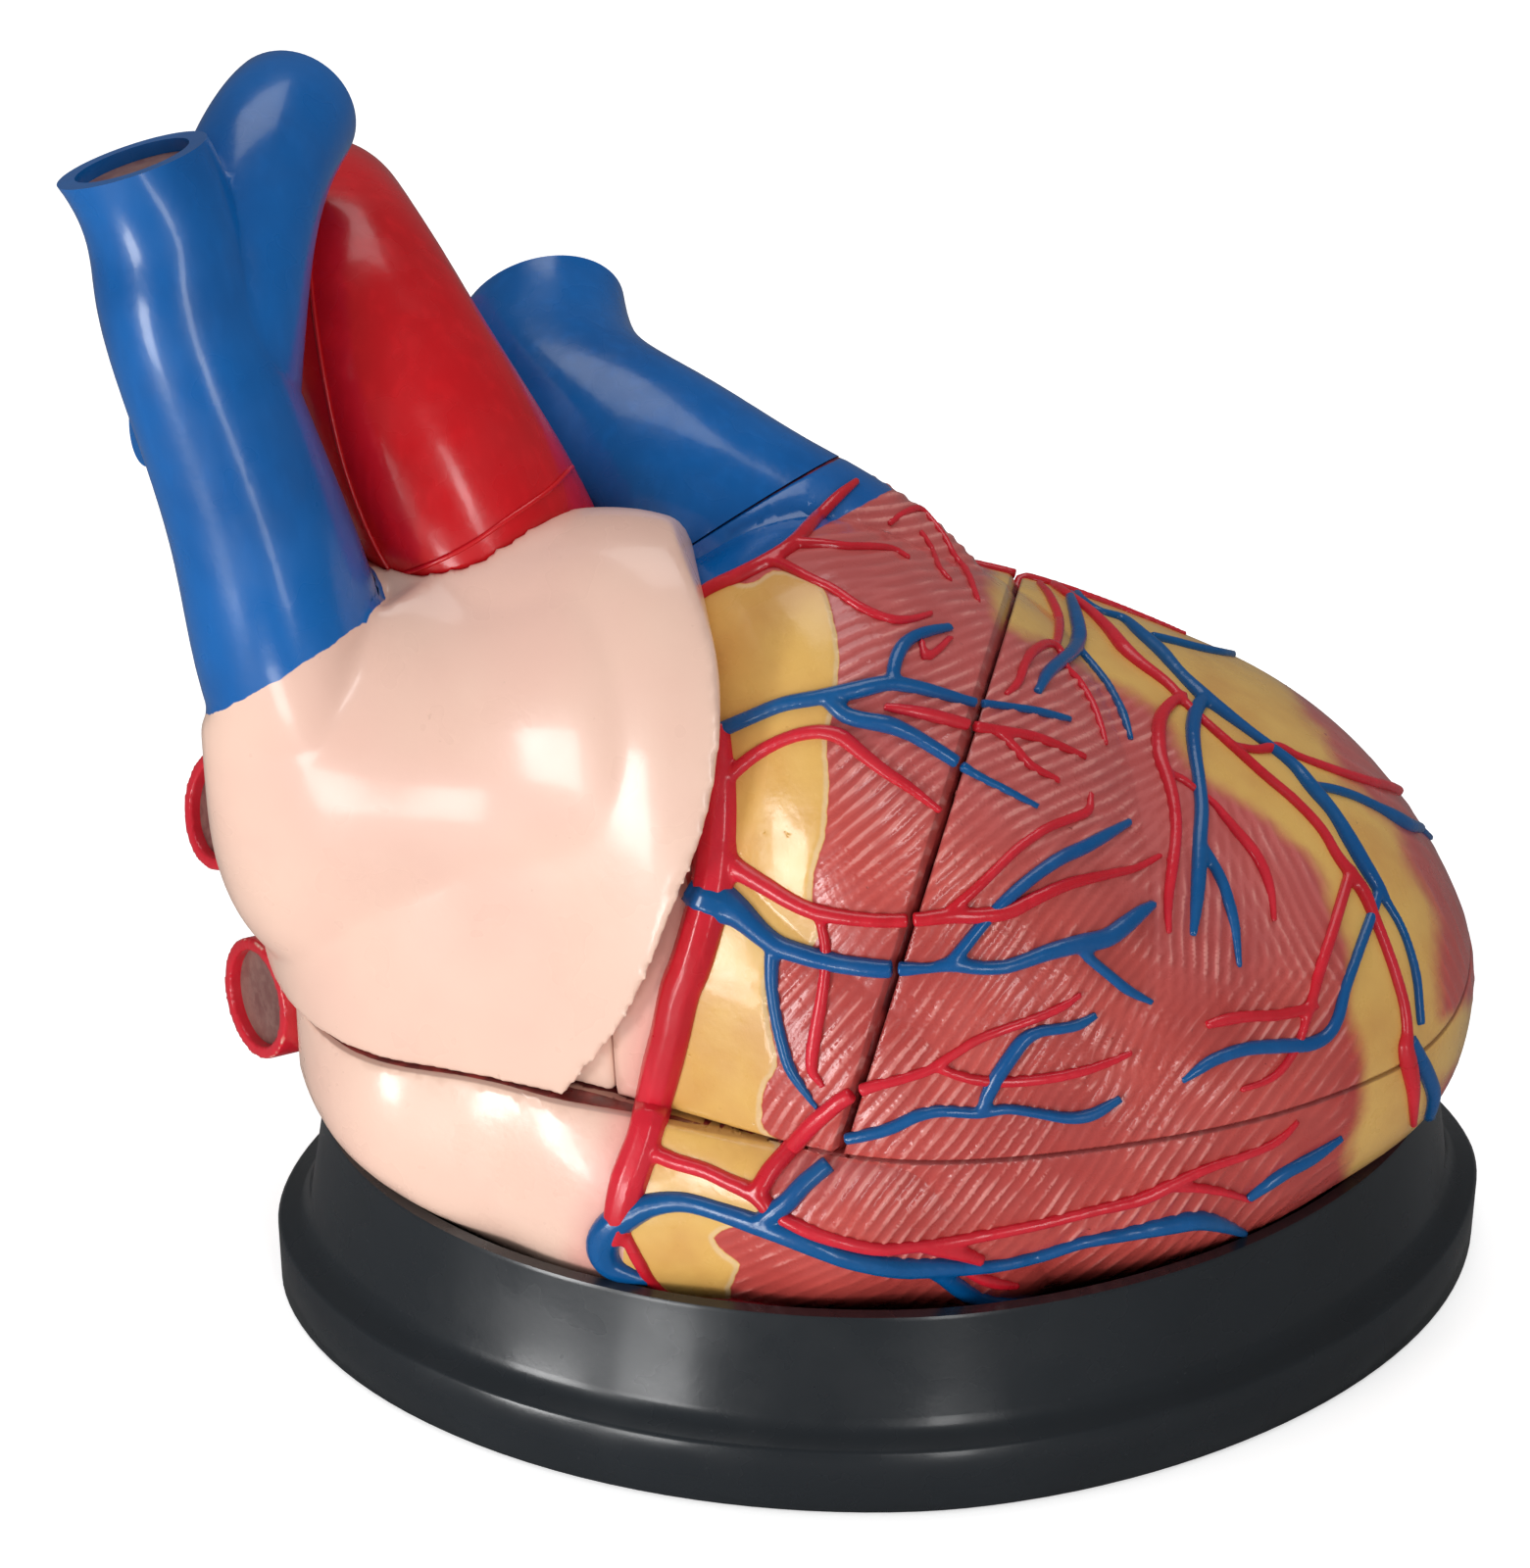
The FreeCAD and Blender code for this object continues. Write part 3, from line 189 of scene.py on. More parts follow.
# ---- routes of the coronary vessels on the board: across, down, radius in mm
ARTERY_ROUTES = [
    # right coronary artery, behind the edge of the auricle and down to the stand
    [(737, 742, 2.4), (736, 770, 3.6), (735, 800, 4.8), (733, 850, 5.4), (728, 900, 5.3), (717, 945, 5.2),
     (705, 985, 5.2), (695, 1010, 5.1), (685, 1055, 5.0), (676, 1090, 5.0), (666, 1130, 4.6),
     (658, 1160, 4.4), (650, 1183, 4.6), (642, 1205, 4.7), (634, 1235, 4.2), (628, 1262, 3.0)],
    [(640, 1262, 1.6), (652, 1285, 1.7), (667, 1308, 1.5), (690, 1322, 1.2), (745, 1326, 1.1),
     (800, 1334, 1.0)],
    # first branch, over the pulmonary root
    [(700, 622, 1.6), (725, 603, 2.0), (757, 588, 2.1), (786, 573, 2.1), (808, 558, 2.0), (824, 540, 1.7),
     (840, 522, 1.5), (855, 507, 1.4), (873, 492, 0.9)],
    [(808, 556, 1.8), (840, 557, 1.4), (865, 559, 1.2), (893, 559, 1.1), (912, 562, 1.0), (925, 569, 0.8)],
    [(786, 572, 1.7), (805, 580, 1.4), (828, 592, 1.3), (850, 602, 1.2), (877, 620, 1.2), (905, 632, 1.2),
     (928, 633, 1.1), (948, 627, 0.8)],
    [(908, 534, 0.8), (922, 524, 0.9), (937, 520, 1.0), (950, 532, 0.9), (963, 549, 0.9), (973, 568, 0.9),
     (986, 585, 1.0), (997, 613, 0.8)],
    [(940, 545, 0.8), (950, 560, 0.8), (958, 580, 0.8), (968, 592, 0.8)],
    [(940, 657, 0.9), (943, 672, 1.1), (955, 665, 1.0), (968, 652, 0.8)],
    # second branch
    [(738, 800, 2.0), (752, 786, 1.8), (775, 768, 1.7), (805, 753, 1.6), (835, 747, 1.7), (858, 752, 1.9),
     (878, 768, 1.7), (901, 786, 1.5), (928, 804, 1.3), (958, 827, 0.9)],
    [(905, 722, 1.0), (917, 724, 1.3), (943, 729, 1.6), (967, 735, 1.6), (995, 742, 1.4), (1025, 747, 1.3),
     (1053, 752, 1.3), (1078, 761, 1.2), (1105, 772, 0.8)],
    [(1020, 750, 1.1), (1034, 763, 1.2), (1050, 781, 1.2), (1078, 796, 0.8)],
    [(1027, 708, 0.8), (1038, 697, 1.1), (1045, 678, 1.2), (1054, 665, 1.3), (1068, 658, 1.3),
     (1080, 664, 1.2), (1087, 682, 1.0), (1099, 695, 1.1), (1113, 718, 1.1), (1121, 738, 1.0),
     (1127, 758, 0.8)],
    [(1060, 596, 0.9), (1070, 609, 1.2), (1079, 630, 1.3), (1079, 648, 1.2), (1076, 660, 1.1)],
    # third branch, across the lid
    [(722, 872, 3.0), (742, 880, 2.9), (760, 890, 2.6), (785, 905, 2.3), (808, 919, 2.1), (833, 930, 2.0),
     (865, 936, 1.8), (900, 939, 1.7), (935, 938, 1.7), (970, 934, 1.9), (1000, 934, 1.9), (1028, 930, 1.9),
     (1055, 917, 1.7), (1090, 902, 1.5), (1132, 892, 1.2), (1158, 886, 1.0), (1182, 874, 0.8)],
    [(968, 930, 1.3), (992, 910, 1.3), (1015, 888, 1.2), (1040, 864, 1.2), (1068, 845, 1.2),
     (1096, 834, 1.2), (1110, 827, 1.2), (1112, 812, 0.8)],
    [(836, 936, 1.2), (841, 955, 1.3), (843, 980, 1.4), (839, 1015, 1.5), (834, 1045, 1.6),
     (829, 1075, 1.6), (829, 1092, 1.3), (838, 1106, 0.8)],
    # marginal branch, low on the lid
    [(776, 1212, 2.4), (786, 1196, 2.4), (796, 1184, 2.3), (812, 1166, 2.2), (828, 1148, 2.2),
     (845, 1133, 2.1), (862, 1120, 2.0), (887, 1109, 1.5), (918, 1101, 1.3), (948, 1091, 1.3),
     (972, 1076, 1.2), (998, 1060, 1.2), (1027, 1049, 1.2), (1058, 1038, 1.2), (1085, 1026, 1.1),
     (1100, 1016, 0.8)],
    [(958, 1090, 1.1), (985, 1099, 1.3), (1015, 1103, 1.4), (1057, 1101, 1.4), (1098, 1094, 1.3),
     (1130, 1084, 1.1), (1152, 1075, 0.8)],
    [(655, 1172, 2.2), (668, 1176, 2.2), (690, 1185, 2.1), (720, 1194, 2.0), (748, 1207, 2.1),
     (768, 1216, 2.3), (780, 1226, 2.3), (787, 1240, 1.8)],
    # long branches that come down from the groove on the lid
    [(1206, 712, 1.3), (1195, 718, 1.5), (1184, 732, 1.8), (1181, 752, 1.9), (1183, 775, 1.9),
     (1191, 797, 1.7), (1197, 822, 1.6), (1199, 850, 1.5), (1196, 880, 1.5), (1192, 910, 1.3),
     (1191, 932, 1.1), (1192, 950, 0.8)],
    [(1196, 791, 1.0), (1207, 797, 1.1), (1219, 806, 1.0), (1236, 819, 1.0), (1249, 834, 1.2),
     (1262, 850, 1.4), (1277, 868, 1.5), (1289, 889, 1.4), (1296, 912, 1.2), (1299, 937, 0.8)],
    # artery of the groove between the ventricles
    [(1063, 590, 1.3), (1085, 606, 1.4), (1110, 624, 1.5), (1130, 644, 1.8), (1146, 664, 2.1),
     (1163, 679, 1.8), (1190, 699, 1.5), (1212, 722, 1.3), (1230, 739, 1.3), (1257, 763, 1.4),
     (1287, 790, 1.4), (1320, 818, 1.4), (1347, 847, 1.4), (1363, 874, 1.5), (1377, 893, 1.8),
     (1390, 912, 1.9), (1400, 935, 1.6), (1411, 962, 1.5), (1422, 993, 1.5), (1431, 1025, 1.5),
     (1434, 1052, 1.6), (1432, 1068, 2.2), (1436, 1088, 2.4), (1440, 1112, 1.9), (1441, 1146, 1.0)],
    [(1258, 762, 1.1), (1280, 766, 1.2), (1302, 764, 1.5), (1322, 772, 1.1), (1345, 781, 1.2),
     (1370, 790, 1.3), (1395, 798, 1.4), (1420, 805, 1.4), (1445, 820, 1.3), (1462, 833, 1.1),
     (1475, 846, 0.8)],
    [(1377, 890, 1.6), (1372, 905, 1.5), (1366, 925, 1.5), (1357, 955, 1.5), (1346, 988, 1.5),
     (1338, 1018, 1.4), (1330, 1045, 1.3), (1322, 1068, 1.2), (1306, 1092, 1.1), (1290, 1103, 1.0),
     (1268, 1111, 0.8)],
    [(1340, 1026, 1.2), (1322, 1032, 1.4), (1300, 1036, 1.4), (1273, 1037, 1.4), (1252, 1040, 1.5),
     (1233, 1045, 1.1)],
    # lower half
    [(800, 1243, 1.8), (822, 1254, 1.9), (850, 1264, 1.7), (893, 1273, 1.7), (930, 1271, 1.6),
     (970, 1266, 1.6), (1015, 1257, 1.6), (1060, 1248, 1.5), (1116, 1234, 1.5), (1160, 1223, 1.8),
     (1190, 1210, 1.8), (1215, 1198, 1.5), (1240, 1188, 1.3), (1268, 1179, 1.2), (1295, 1168, 1.2),
     (1310, 1158, 1.1), (1322, 1146, 0.8)],
    [(1196, 1210, 1.4), (1222, 1211, 1.3), (1250, 1216, 1.1), (1275, 1224, 0.8)],
    [(940, 1271, 1.5), (962, 1274, 2.0), (980, 1277, 2.1), (999, 1284, 1.6)],
    [(980, 1292, 1.2), (1000, 1302, 1.7), (1018, 1308, 1.6), (1036, 1311, 1.0)],
]

VEIN_ROUTES = [
    # upper vein of the right ventricle's front
    [(706, 756, 1.8), (732, 747, 1.9), (767, 732, 1.8), (800, 719, 1.8), (838, 712, 1.9), (872, 705, 2.1),
     (905, 698, 1.9), (935, 702, 1.7), (965, 710, 1.5), (992, 717, 1.2), (1025, 721, 1.0), (1055, 726, 1.1),
     (1075, 731, 1.1), (1090, 734, 0.8)],
    [(910, 700, 1.6), (912, 680, 1.7), (919, 662, 1.7), (931, 651, 1.5), (947, 645, 1.4), (967, 641, 1.1)],
    [(842, 711, 1.8), (853, 722, 2.0), (865, 731, 2.0), (885, 736, 2.0), (906, 740, 2.1), (928, 749, 1.8),
     (950, 762, 1.7), (972, 776, 1.6), (994, 790, 1.1), (1027, 807, 1.0), (1056, 822, 0.8)],
    # thick vein that rises beside the right coronary artery
    [(707, 905, 3.8), (716, 911, 5.6), (727, 917, 5.9), (739, 923, 5.0), (752, 930, 3.9), (765, 941, 3.2),
     (778, 953, 2.8), (795, 965, 2.6), (815, 972, 2.5), (835, 978, 2.4), (865, 984, 2.3), (900, 988, 2.2),
     (925, 988, 1.7), (950, 987, 1.3), (972, 983, 1.9), (1000, 987, 1.7), (1025, 986, 1.7),
     (1048, 979, 1.8), (1070, 971, 2.0), (1100, 963, 2.2), (1128, 957, 2.3), (1147, 944, 2.2),
     (1162, 932, 1.8), (1174, 924, 1.2)],
    [(972, 980, 1.6), (986, 963, 1.6), (1003, 942, 1.5), (1020, 924, 1.5), (1040, 906, 1.6),
     (1060, 890, 1.6), (1083, 875, 1.7), (1105, 865, 1.7), (1127, 853, 1.5), (1150, 840, 1.0)],
    [(1100, 966, 1.3), (1112, 979, 1.3), (1130, 994, 1.3), (1150, 1010, 1.3), (1173, 1022, 0.8)],
    [(789, 966, 1.9), (788, 985, 1.8), (788, 1005, 1.6), (792, 1035, 1.5), (798, 1062, 1.5),
     (806, 1088, 1.5), (818, 1108, 1.2), (832, 1128, 0.7)],
    # lower lid
    [(866, 1161, 1.5), (885, 1157, 1.6), (910, 1150, 1.6), (935, 1138, 1.6), (960, 1133, 1.5),
     (998, 1135, 1.4), (1027, 1131, 1.3), (1057, 1135, 1.3), (1090, 1140, 1.5), (1115, 1136, 1.6),
     (1140, 1122, 1.1)],
    [(1001, 1133, 1.4), (1009, 1114, 1.8), (1018, 1097, 1.9), (1031, 1078, 1.9), (1044, 1061, 1.8),
     (1060, 1052, 1.5), (1082, 1049, 1.4), (1100, 1045, 1.4), (1115, 1037, 1.0)],
    # veins that come down from the groove on the lid
    [(1090, 597, 1.2), (1092, 612, 1.4), (1097, 630, 1.8), (1100, 650, 2.0), (1094, 665, 1.9),
     (1082, 675, 1.7), (1068, 688, 1.6), (1058, 706, 1.1)],
    [(1099, 662, 1.1), (1113, 678, 1.1), (1128, 697, 1.1), (1138, 714, 1.1), (1146, 732, 1.2),
     (1153, 753, 0.8)],
    [(1229, 712, 1.7), (1220, 725, 1.9), (1216, 745, 1.9), (1218, 770, 1.8), (1222, 795, 1.7),
     (1225, 827, 1.8), (1223, 860, 1.9), (1222, 893, 1.9), (1220, 922, 1.6), (1217, 952, 1.0)],
    [(1225, 862, 1.3), (1234, 877, 1.4), (1244, 896, 1.5), (1252, 918, 1.5), (1259, 945, 1.3),
     (1264, 984, 0.8)],
    # vein of the groove between the ventricles
    [(1057, 583, 0.9), (1075, 587, 1.1), (1090, 597, 1.2), (1104, 613, 1.1), (1122, 625, 1.1),
     (1145, 633, 1.4), (1163, 649, 1.9), (1183, 667, 2.1), (1203, 689, 1.8), (1225, 711, 2.2),
     (1247, 728, 1.9), (1273, 747, 1.5), (1300, 767, 1.5), (1320, 784, 1.8), (1336, 804, 2.1),
     (1358, 830, 1.9), (1375, 858, 2.2), (1389, 882, 2.2), (1404, 906, 1.9), (1414, 922, 1.3),
     (1427, 944, 1.2), (1437, 970, 1.2), (1444, 1000, 1.3), (1448, 1042, 1.2)],
    [(1438, 1064, 2.0), (1446, 1080, 2.2), (1454, 1096, 2.2), (1460, 1116, 2.1), (1456, 1140, 1.6)],
    [(1176, 651, 1.3), (1197, 656, 1.3), (1220, 662, 1.3), (1245, 667, 1.2), (1275, 671, 0.8)],
    [(1338, 803, 1.3), (1358, 806, 1.3), (1380, 813, 1.3), (1405, 825, 1.4), (1422, 835, 1.9),
     (1437, 843, 1.8), (1455, 847, 1.1), (1472, 851, 0.8)],
    [(1450, 847, 0.9), (1465, 862, 0.9), (1476, 874, 0.9), (1487, 888, 0.7)],
    [(1404, 915, 1.4), (1398, 935, 1.4), (1390, 957, 1.4), (1380, 985, 1.4), (1371, 1010, 1.5),
     (1364, 1038, 1.6), (1353, 1056, 1.7), (1335, 1065, 1.8), (1305, 1067, 1.8), (1270, 1070, 1.7),
     (1240, 1080, 1.6), (1222, 1091, 1.4), (1208, 1101, 0.9)],
    # lower half, from the stand up and along
    [(660, 1304, 1.6), (640, 1298, 2.7), (622, 1288, 3.6), (615, 1270, 4.1), (624, 1252, 4.0),
     (644, 1238, 3.5), (668, 1228, 2.9), (700, 1226, 2.5), (738, 1236, 2.5), (771, 1247, 2.8),
     (804, 1259, 2.8), (838, 1273, 2.6), (871, 1284, 2.6), (916, 1291, 2.9), (960, 1291, 2.6),
     (1016, 1290, 1.7), (1060, 1280, 1.7), (1104, 1266, 1.7), (1149, 1257, 2.0), (1190, 1248, 2.6),
     (1220, 1243, 2.7), (1245, 1248, 2.0), (1268, 1257, 1.1)],
    [(778, 1247, 2.6), (788, 1238, 2.5), (804, 1226, 2.4), (821, 1208, 2.3), (843, 1190, 2.2)],
    [(945, 1291, 2.2), (962, 1300, 2.3), (978, 1312, 2.4), (1000, 1324, 2.3), (1035, 1328, 2.0),
     (1080, 1322, 1.5)],
    [(1275, 1220, 1.3), (1292, 1207, 1.8), (1313, 1193, 1.9), (1338, 1180, 1.8), (1366, 1162, 1.0)],
]

# The same on the board behind the heart, for the left side of the groove.
REAR_ARTERY_ROUTES = [
    [(588, 700, 2.0), (622, 742, 2.2), (638, 800, 2.1), (634, 862, 2.0), (630, 930, 1.9), (624, 1010, 1.8),
     (627, 1080, 1.6), (640, 1150, 1.5), (652, 1210, 1.3), (664, 1262, 0.9)],
    [(634, 862, 1.6), (592, 884, 1.6), (542, 922, 1.5), (480, 958, 1.4), (418, 988, 1.3), (352, 1008, 1.2),
     (292, 1030, 1.0), (240, 1040, 0.7)],
    [(480, 958, 1.2), (442, 1002, 1.1), (392, 1038, 1.0), (332, 1068, 0.9), (280, 1090, 0.7)],
    [(627, 1080, 1.5), (585, 1106, 1.5), (530, 1118, 1.4), (470, 1140, 1.2), (400, 1150, 1.0),
     (330, 1156, 0.7)],
    [(652, 1206, 1.3), (600, 1226, 1.3), (540, 1238, 1.2), (470, 1240, 1.1), (400, 1226, 0.9),
     (340, 1210, 0.7)],
    [(632, 780, 1.4), (596, 782, 1.3), (556, 794, 1.3), (500, 800, 1.3), (440, 812, 1.2), (380, 824, 1.0),
     (318, 842, 0.7)],
]
REAR_VEIN_ROUTES = [
    [(612, 722, 1.6), (648, 772, 2.4), (662, 850, 2.8), (656, 920, 3.0), (648, 1000, 3.2), (652, 1080, 3.5),
     (662, 1160, 3.8), (678, 1230, 4.0), (694, 1292, 3.8), (700, 1326, 3.0)],
    [(650, 962, 2.0), (602, 986, 1.8), (550, 1008, 1.6), (500, 1032, 1.5), (440, 1050, 1.3),
     (380, 1062, 1.1), (318, 1064, 0.8)],
    [(500, 1032, 1.2), (462, 1076, 1.1), (410, 1104, 1.0), (350, 1120, 0.8)],
    [(660, 1150, 2.2), (610, 1172, 1.9), (550, 1180, 1.7), (490, 1190, 1.5), (420, 1190, 1.2),
     (360, 1180, 0.9), (300, 1160, 0.7)],
    [(658, 850, 1.7), (610, 840, 1.5), (560, 852, 1.4), (500, 864, 1.3), (440, 880, 1.2), (380, 884, 1.0),
     (320, 880, 0.8)],
]

# Raised mould seams of the aorta and round its foot.
AORTA_SEAMS = [
    [(326, 196, 0.5), (319, 220, 0.5), (316, 260, 0.5), (320, 310, 0.5), (327, 360, 0.5), (337, 415, 0.5),
     (350, 470, 0.5), (367, 520, 0.5), (385, 560, 0.5), (400, 585, 0.5)],
    [(404, 588, 0.6), (440, 575, 0.6), (480, 555, 0.6), (520, 528, 0.6), (560, 500, 0.6), (582, 478, 0.6)],
]

# ---- paint edges on the board
FRONT_FAT_EDGE = [
    (690, 560), (757, 597), (790, 582), (813, 587), (838, 598), (850, 628), (856, 670), (853, 712),
    (847, 740), (844, 760), (846, 803), (842, 853), (833, 883), (829, 918), (840, 942), (826, 970),
    (797, 976), (783, 1000), (783, 1020), (787, 1050), (794, 1087), (784, 1103), (777, 1130), (781, 1153),
    (797, 1168), (790, 1192), (779, 1222), (790, 1246), (752, 1250), (728, 1262), (741, 1278), (755, 1290),
    (746, 1313), (738, 1350), (640, 1350), (600, 1290), (640, 1210), (655, 1150), (675, 1080), (695, 1000),
    (712, 930), (715, 850), (720, 770), (700, 700), (690, 620)]
GROOVE_FAT_EDGE = [
    (1020, 560), (1075, 575), (1110, 600), (1153, 615), (1197, 625), (1243, 640), (1273, 662), (1300, 685),
    (1318, 705), (1330, 727), (1350, 747), (1358, 770), (1368, 795), (1395, 818), (1418, 838), (1430, 865),
    (1443, 895), (1458, 925), (1466, 950), (1466, 1000), (1470, 1040), (1510, 1020), (1520, 1060),
    (1490, 1085), (1465, 1110), (1450, 1160), (1376, 1200), (1388, 1131), (1392, 1090), (1385, 1060),
    (1377, 1027), (1377, 964), (1360, 925), (1355, 905), (1345, 885), (1330, 868), (1310, 850), (1287, 830),
    (1257, 810), (1230, 795), (1207, 770), (1193, 745), (1175, 722), (1150, 705), (1120, 690), (1090, 668),
    (1060, 655), (1035, 645), (1015, 620)]

REAR_FAT_EDGE = [
    (596, 740), (640, 722), (690, 730), (726, 760), (712, 860), (700, 960), (698, 1060), (708, 1160),
    (724, 1250), (740, 1340), (655, 1340), (640, 1270), (622, 1200), (596, 1130), (610, 1060), (586, 980),
    (602, 900), (582, 820)]

# Pink is sprayed on the atria along this line, beside the right coronary artery.
BLUSH_LINE = [
    (722, 880), (702, 950), (684, 1010), (664, 1080), (652, 1130), (638, 1180), (622, 1235), (606, 1290)]

# Run of the muscle fibres: place on the board and angle in degrees, rising to the right.
FIBRE_FIELD = [
    (900, 560, 12), (965, 600, 10), (880, 645, 20), (935, 680, 22), (880, 830, 42), (900, 900, 40),
    (870, 1000, 50), (850, 1090, 55), (1070, 760, 24), (1100, 820, 28), (1000, 870, 42), (960, 960, 48),
    (1050, 1010, 52), (1120, 950, 60), (1160, 1050, 68), (1230, 980, 84), (1250, 880, 95), (1290, 850, 118),
    (1330, 930, 120), (1150, 860, 38), (1260, 1060, 60), (1340, 1080, 50), (1110, 730, 22),
    (1430, 820, 148), (1330, 700, 148), (1480, 930, 118), (870, 1230, 55), (1000, 1220, 55),
    (1130, 1200, 52), (1250, 1190, 48), (1340, 1160, 45), (750, 1295, 25), (850, 1310, 27),
    (1000, 1310, 38), (1150, 1280, 38)]
FIBRE_FAMILIES = (12, 25, 40, 54, 70, 92, 118, 148)
FIBRE_REACH = 62.0         # how far one place of the field is felt, in board units
FIBRE_CONTRAST = 3         # how firmly one family of fibres rules its place
FIBRE_SHARPNESS = 2.4
FIBRE_BENDS = ((0.09, 0.45), (0.016, 0.07))      # size in m and strength of the waves in the fibres' run
FIBRE_PATCHES = ((0.04, 0.3), (0.012, 0.25))     # and of the patches in their height
FIBRE_MEAN = 0.78
FIBRE_RANGE = (0.3, 1.15)
WAVE_SPREAD = (0.7, 1.6)   # the waves of one field have their size times a share from here to there


# ---- settings
def paint_colour(name, description, red, green, blue):
    """Colour property; the default is given as 8-bit screen values and kept in linear light."""
    def linear(value):
        value /= 255.0
        return value / 12.92 if value <= 0.04045 else ((value + 0.055) / 1.055) ** 2.4

    return FloatVectorProperty(name=name, description=description, subtype="COLOR", size=3, min=0.0, max=1.0,
                               default=(linear(red), linear(green), linear(blue)))


class HeartColours(bpy.types.PropertyGroup):
    muscle: paint_colour("Muscle", "Ground colour of the ventricles", 202, 84, 76)
    # Also darkens the wall between the fibres and where they fade out.
    muscle_dark: paint_colour("Muscle, hollows", "Paint that settles between the fibres", 172, 60, 56)
    # Also the painted highlight on the ridges of the fibres, laid on with the dry brushing.
    muscle_light: paint_colour("Muscle, ridges", "Dry brushing on the ridges of the fibres", 228, 146, 138)
    # Painted light from above: the upward-facing wall is mixed towards this lighter mauve.
    muscle_top_light: paint_colour("Muscle, upper side", "Airbrushed mauve on the upper side", 208, 122, 122)
    fat: paint_colour("Fat", "Fat beside the coronary vessels", 226, 180, 98)
    fat_shade: paint_colour("Fat, shade", "Darker sprayed edge of the fat", 206, 148, 78)
    peach: paint_colour("Atria", "Ground colour of the atria", 238, 202, 182)
    peach_blush: paint_colour("Atria, blush", "Faint pink airbrush on the atria", 232, 186, 170)
    artery: paint_colour("Arteries", "Red of the aorta", 206, 16, 26)
    artery_deep: paint_colour("Arteries, deep", "Red in the hollows", 172, 6, 14)
    coronary_red: paint_colour("Coronary arteries", "Red of the small arteries", 208, 32, 50)
    vein: paint_colour("Veins", "Blue of the great veins and pulmonary trunk", 0, 96, 172)
    vein_deep: paint_colour("Veins, deep", "Blue in the hollows", 0, 74, 140)
    coronary_blue: paint_colour("Coronary veins", "Blue of the small veins", 4, 84, 142)
    lumen: paint_colour("Lumen", "Brown closing discs", 116, 74, 70)
    lumen_light: paint_colour("Lumen, light", "Lighter stipple on the discs", 150, 116, 106)
    chamber: paint_colour("Chambers", "Lining of the chambers", 206, 120, 112)
    # Dark maroon of the cut faces, kept this dark to stand in also for the shade inside the open joints.
    parting: paint_colour("Parting faces", "Cut faces of the wall", 98, 28, 30)
    stand: paint_colour("Stand", "Moulded black stand", 33, 37, 41)
    foam: paint_colour("Cradle foam", "Foam saddles", 60, 61, 64)
    valve: paint_colour("Valves", "Leaflets, cusps and cords", 232, 214, 182)
    nickel: paint_colour("Magnets", "Nickel plate", 196, 198, 204)
    backdrop: paint_colour("Backdrop", "Floor and background", 250, 250, 250)


def length(name, description, size):
    """Length property; the default is given in mm."""
    return FloatProperty(name=name, description=description, default=size * MM, unit="LENGTH")


def power(name, description, watts):
    return FloatProperty(name=name, description=description, default=watts, unit="POWER")


class HeartSizes(bpy.types.PropertyGroup):
    wall_grain: length("Wall grain", "Longest edge on the outside of the ventricle walls", 1.22)
    shell_grain: length("Shell grain", "Edge length of the atria's mesh", 1.45)
    vessel_grain: length("Vessel grain", "Edge length of the coronary vessels' mesh", 0.55)
    fibre_pitch: length("Fibre pitch", "Distance between muscle fibres", 2.9)
    fibre_height: length("Fibre height", "Height of the muscle fibres", 0.65)
    fat_height: length("Fat height", "How far the fat stands proud", 0.5)
    vein_overlap: length("Vein overlap", "The vein's foot runs this far under its paint edge", 4.0)
    stub_rim: length("Stub rim", "Red rim round the mouth of a vein stub", 4.0)


class StageSettings(bpy.types.PropertyGroup):
    key_power: power("Key lamp", "Softbox on the left", 2.0)
    card_power: power("Low card", "Small card close to the stand", 0.16)
    fill_power: power("Fill lamp", "Softbox on the right", 4.0)
    top_power: power("Top lamp", "Softbox overhead", 9.0)
    sky: FloatProperty(name="Room light", description="Even light from the white room", default=0.46, min=0.0)
    floor_size: FloatProperty(name="Floor", description="Half width of the floor", default=4.0, unit="LENGTH")
    seed: IntProperty(name="Seed", description="Start of the paint's random spread", default=7, min=0)


# ---- materials
# HIGHLIGHT_ON_FAT_EDGE is a painted highlight along the rounded edge of the raised fat.
HIGHLIGHT_ON_FAT_EDGE = (0.80, 0.60, 0.38)          # these are in linear light
FRECKLE = (0.62, 0.38, 0.28)
DUST = (0.16, 0.165, 0.17)
RUBBER_DARK = (0.02, 0.02, 0.021)
RUBBER_LIGHT = (0.05, 0.05, 0.052)
FLOOR_MIRRORED = (0.22, 0.22, 0.22)
WHITE = (1.0, 1.0, 1.0)


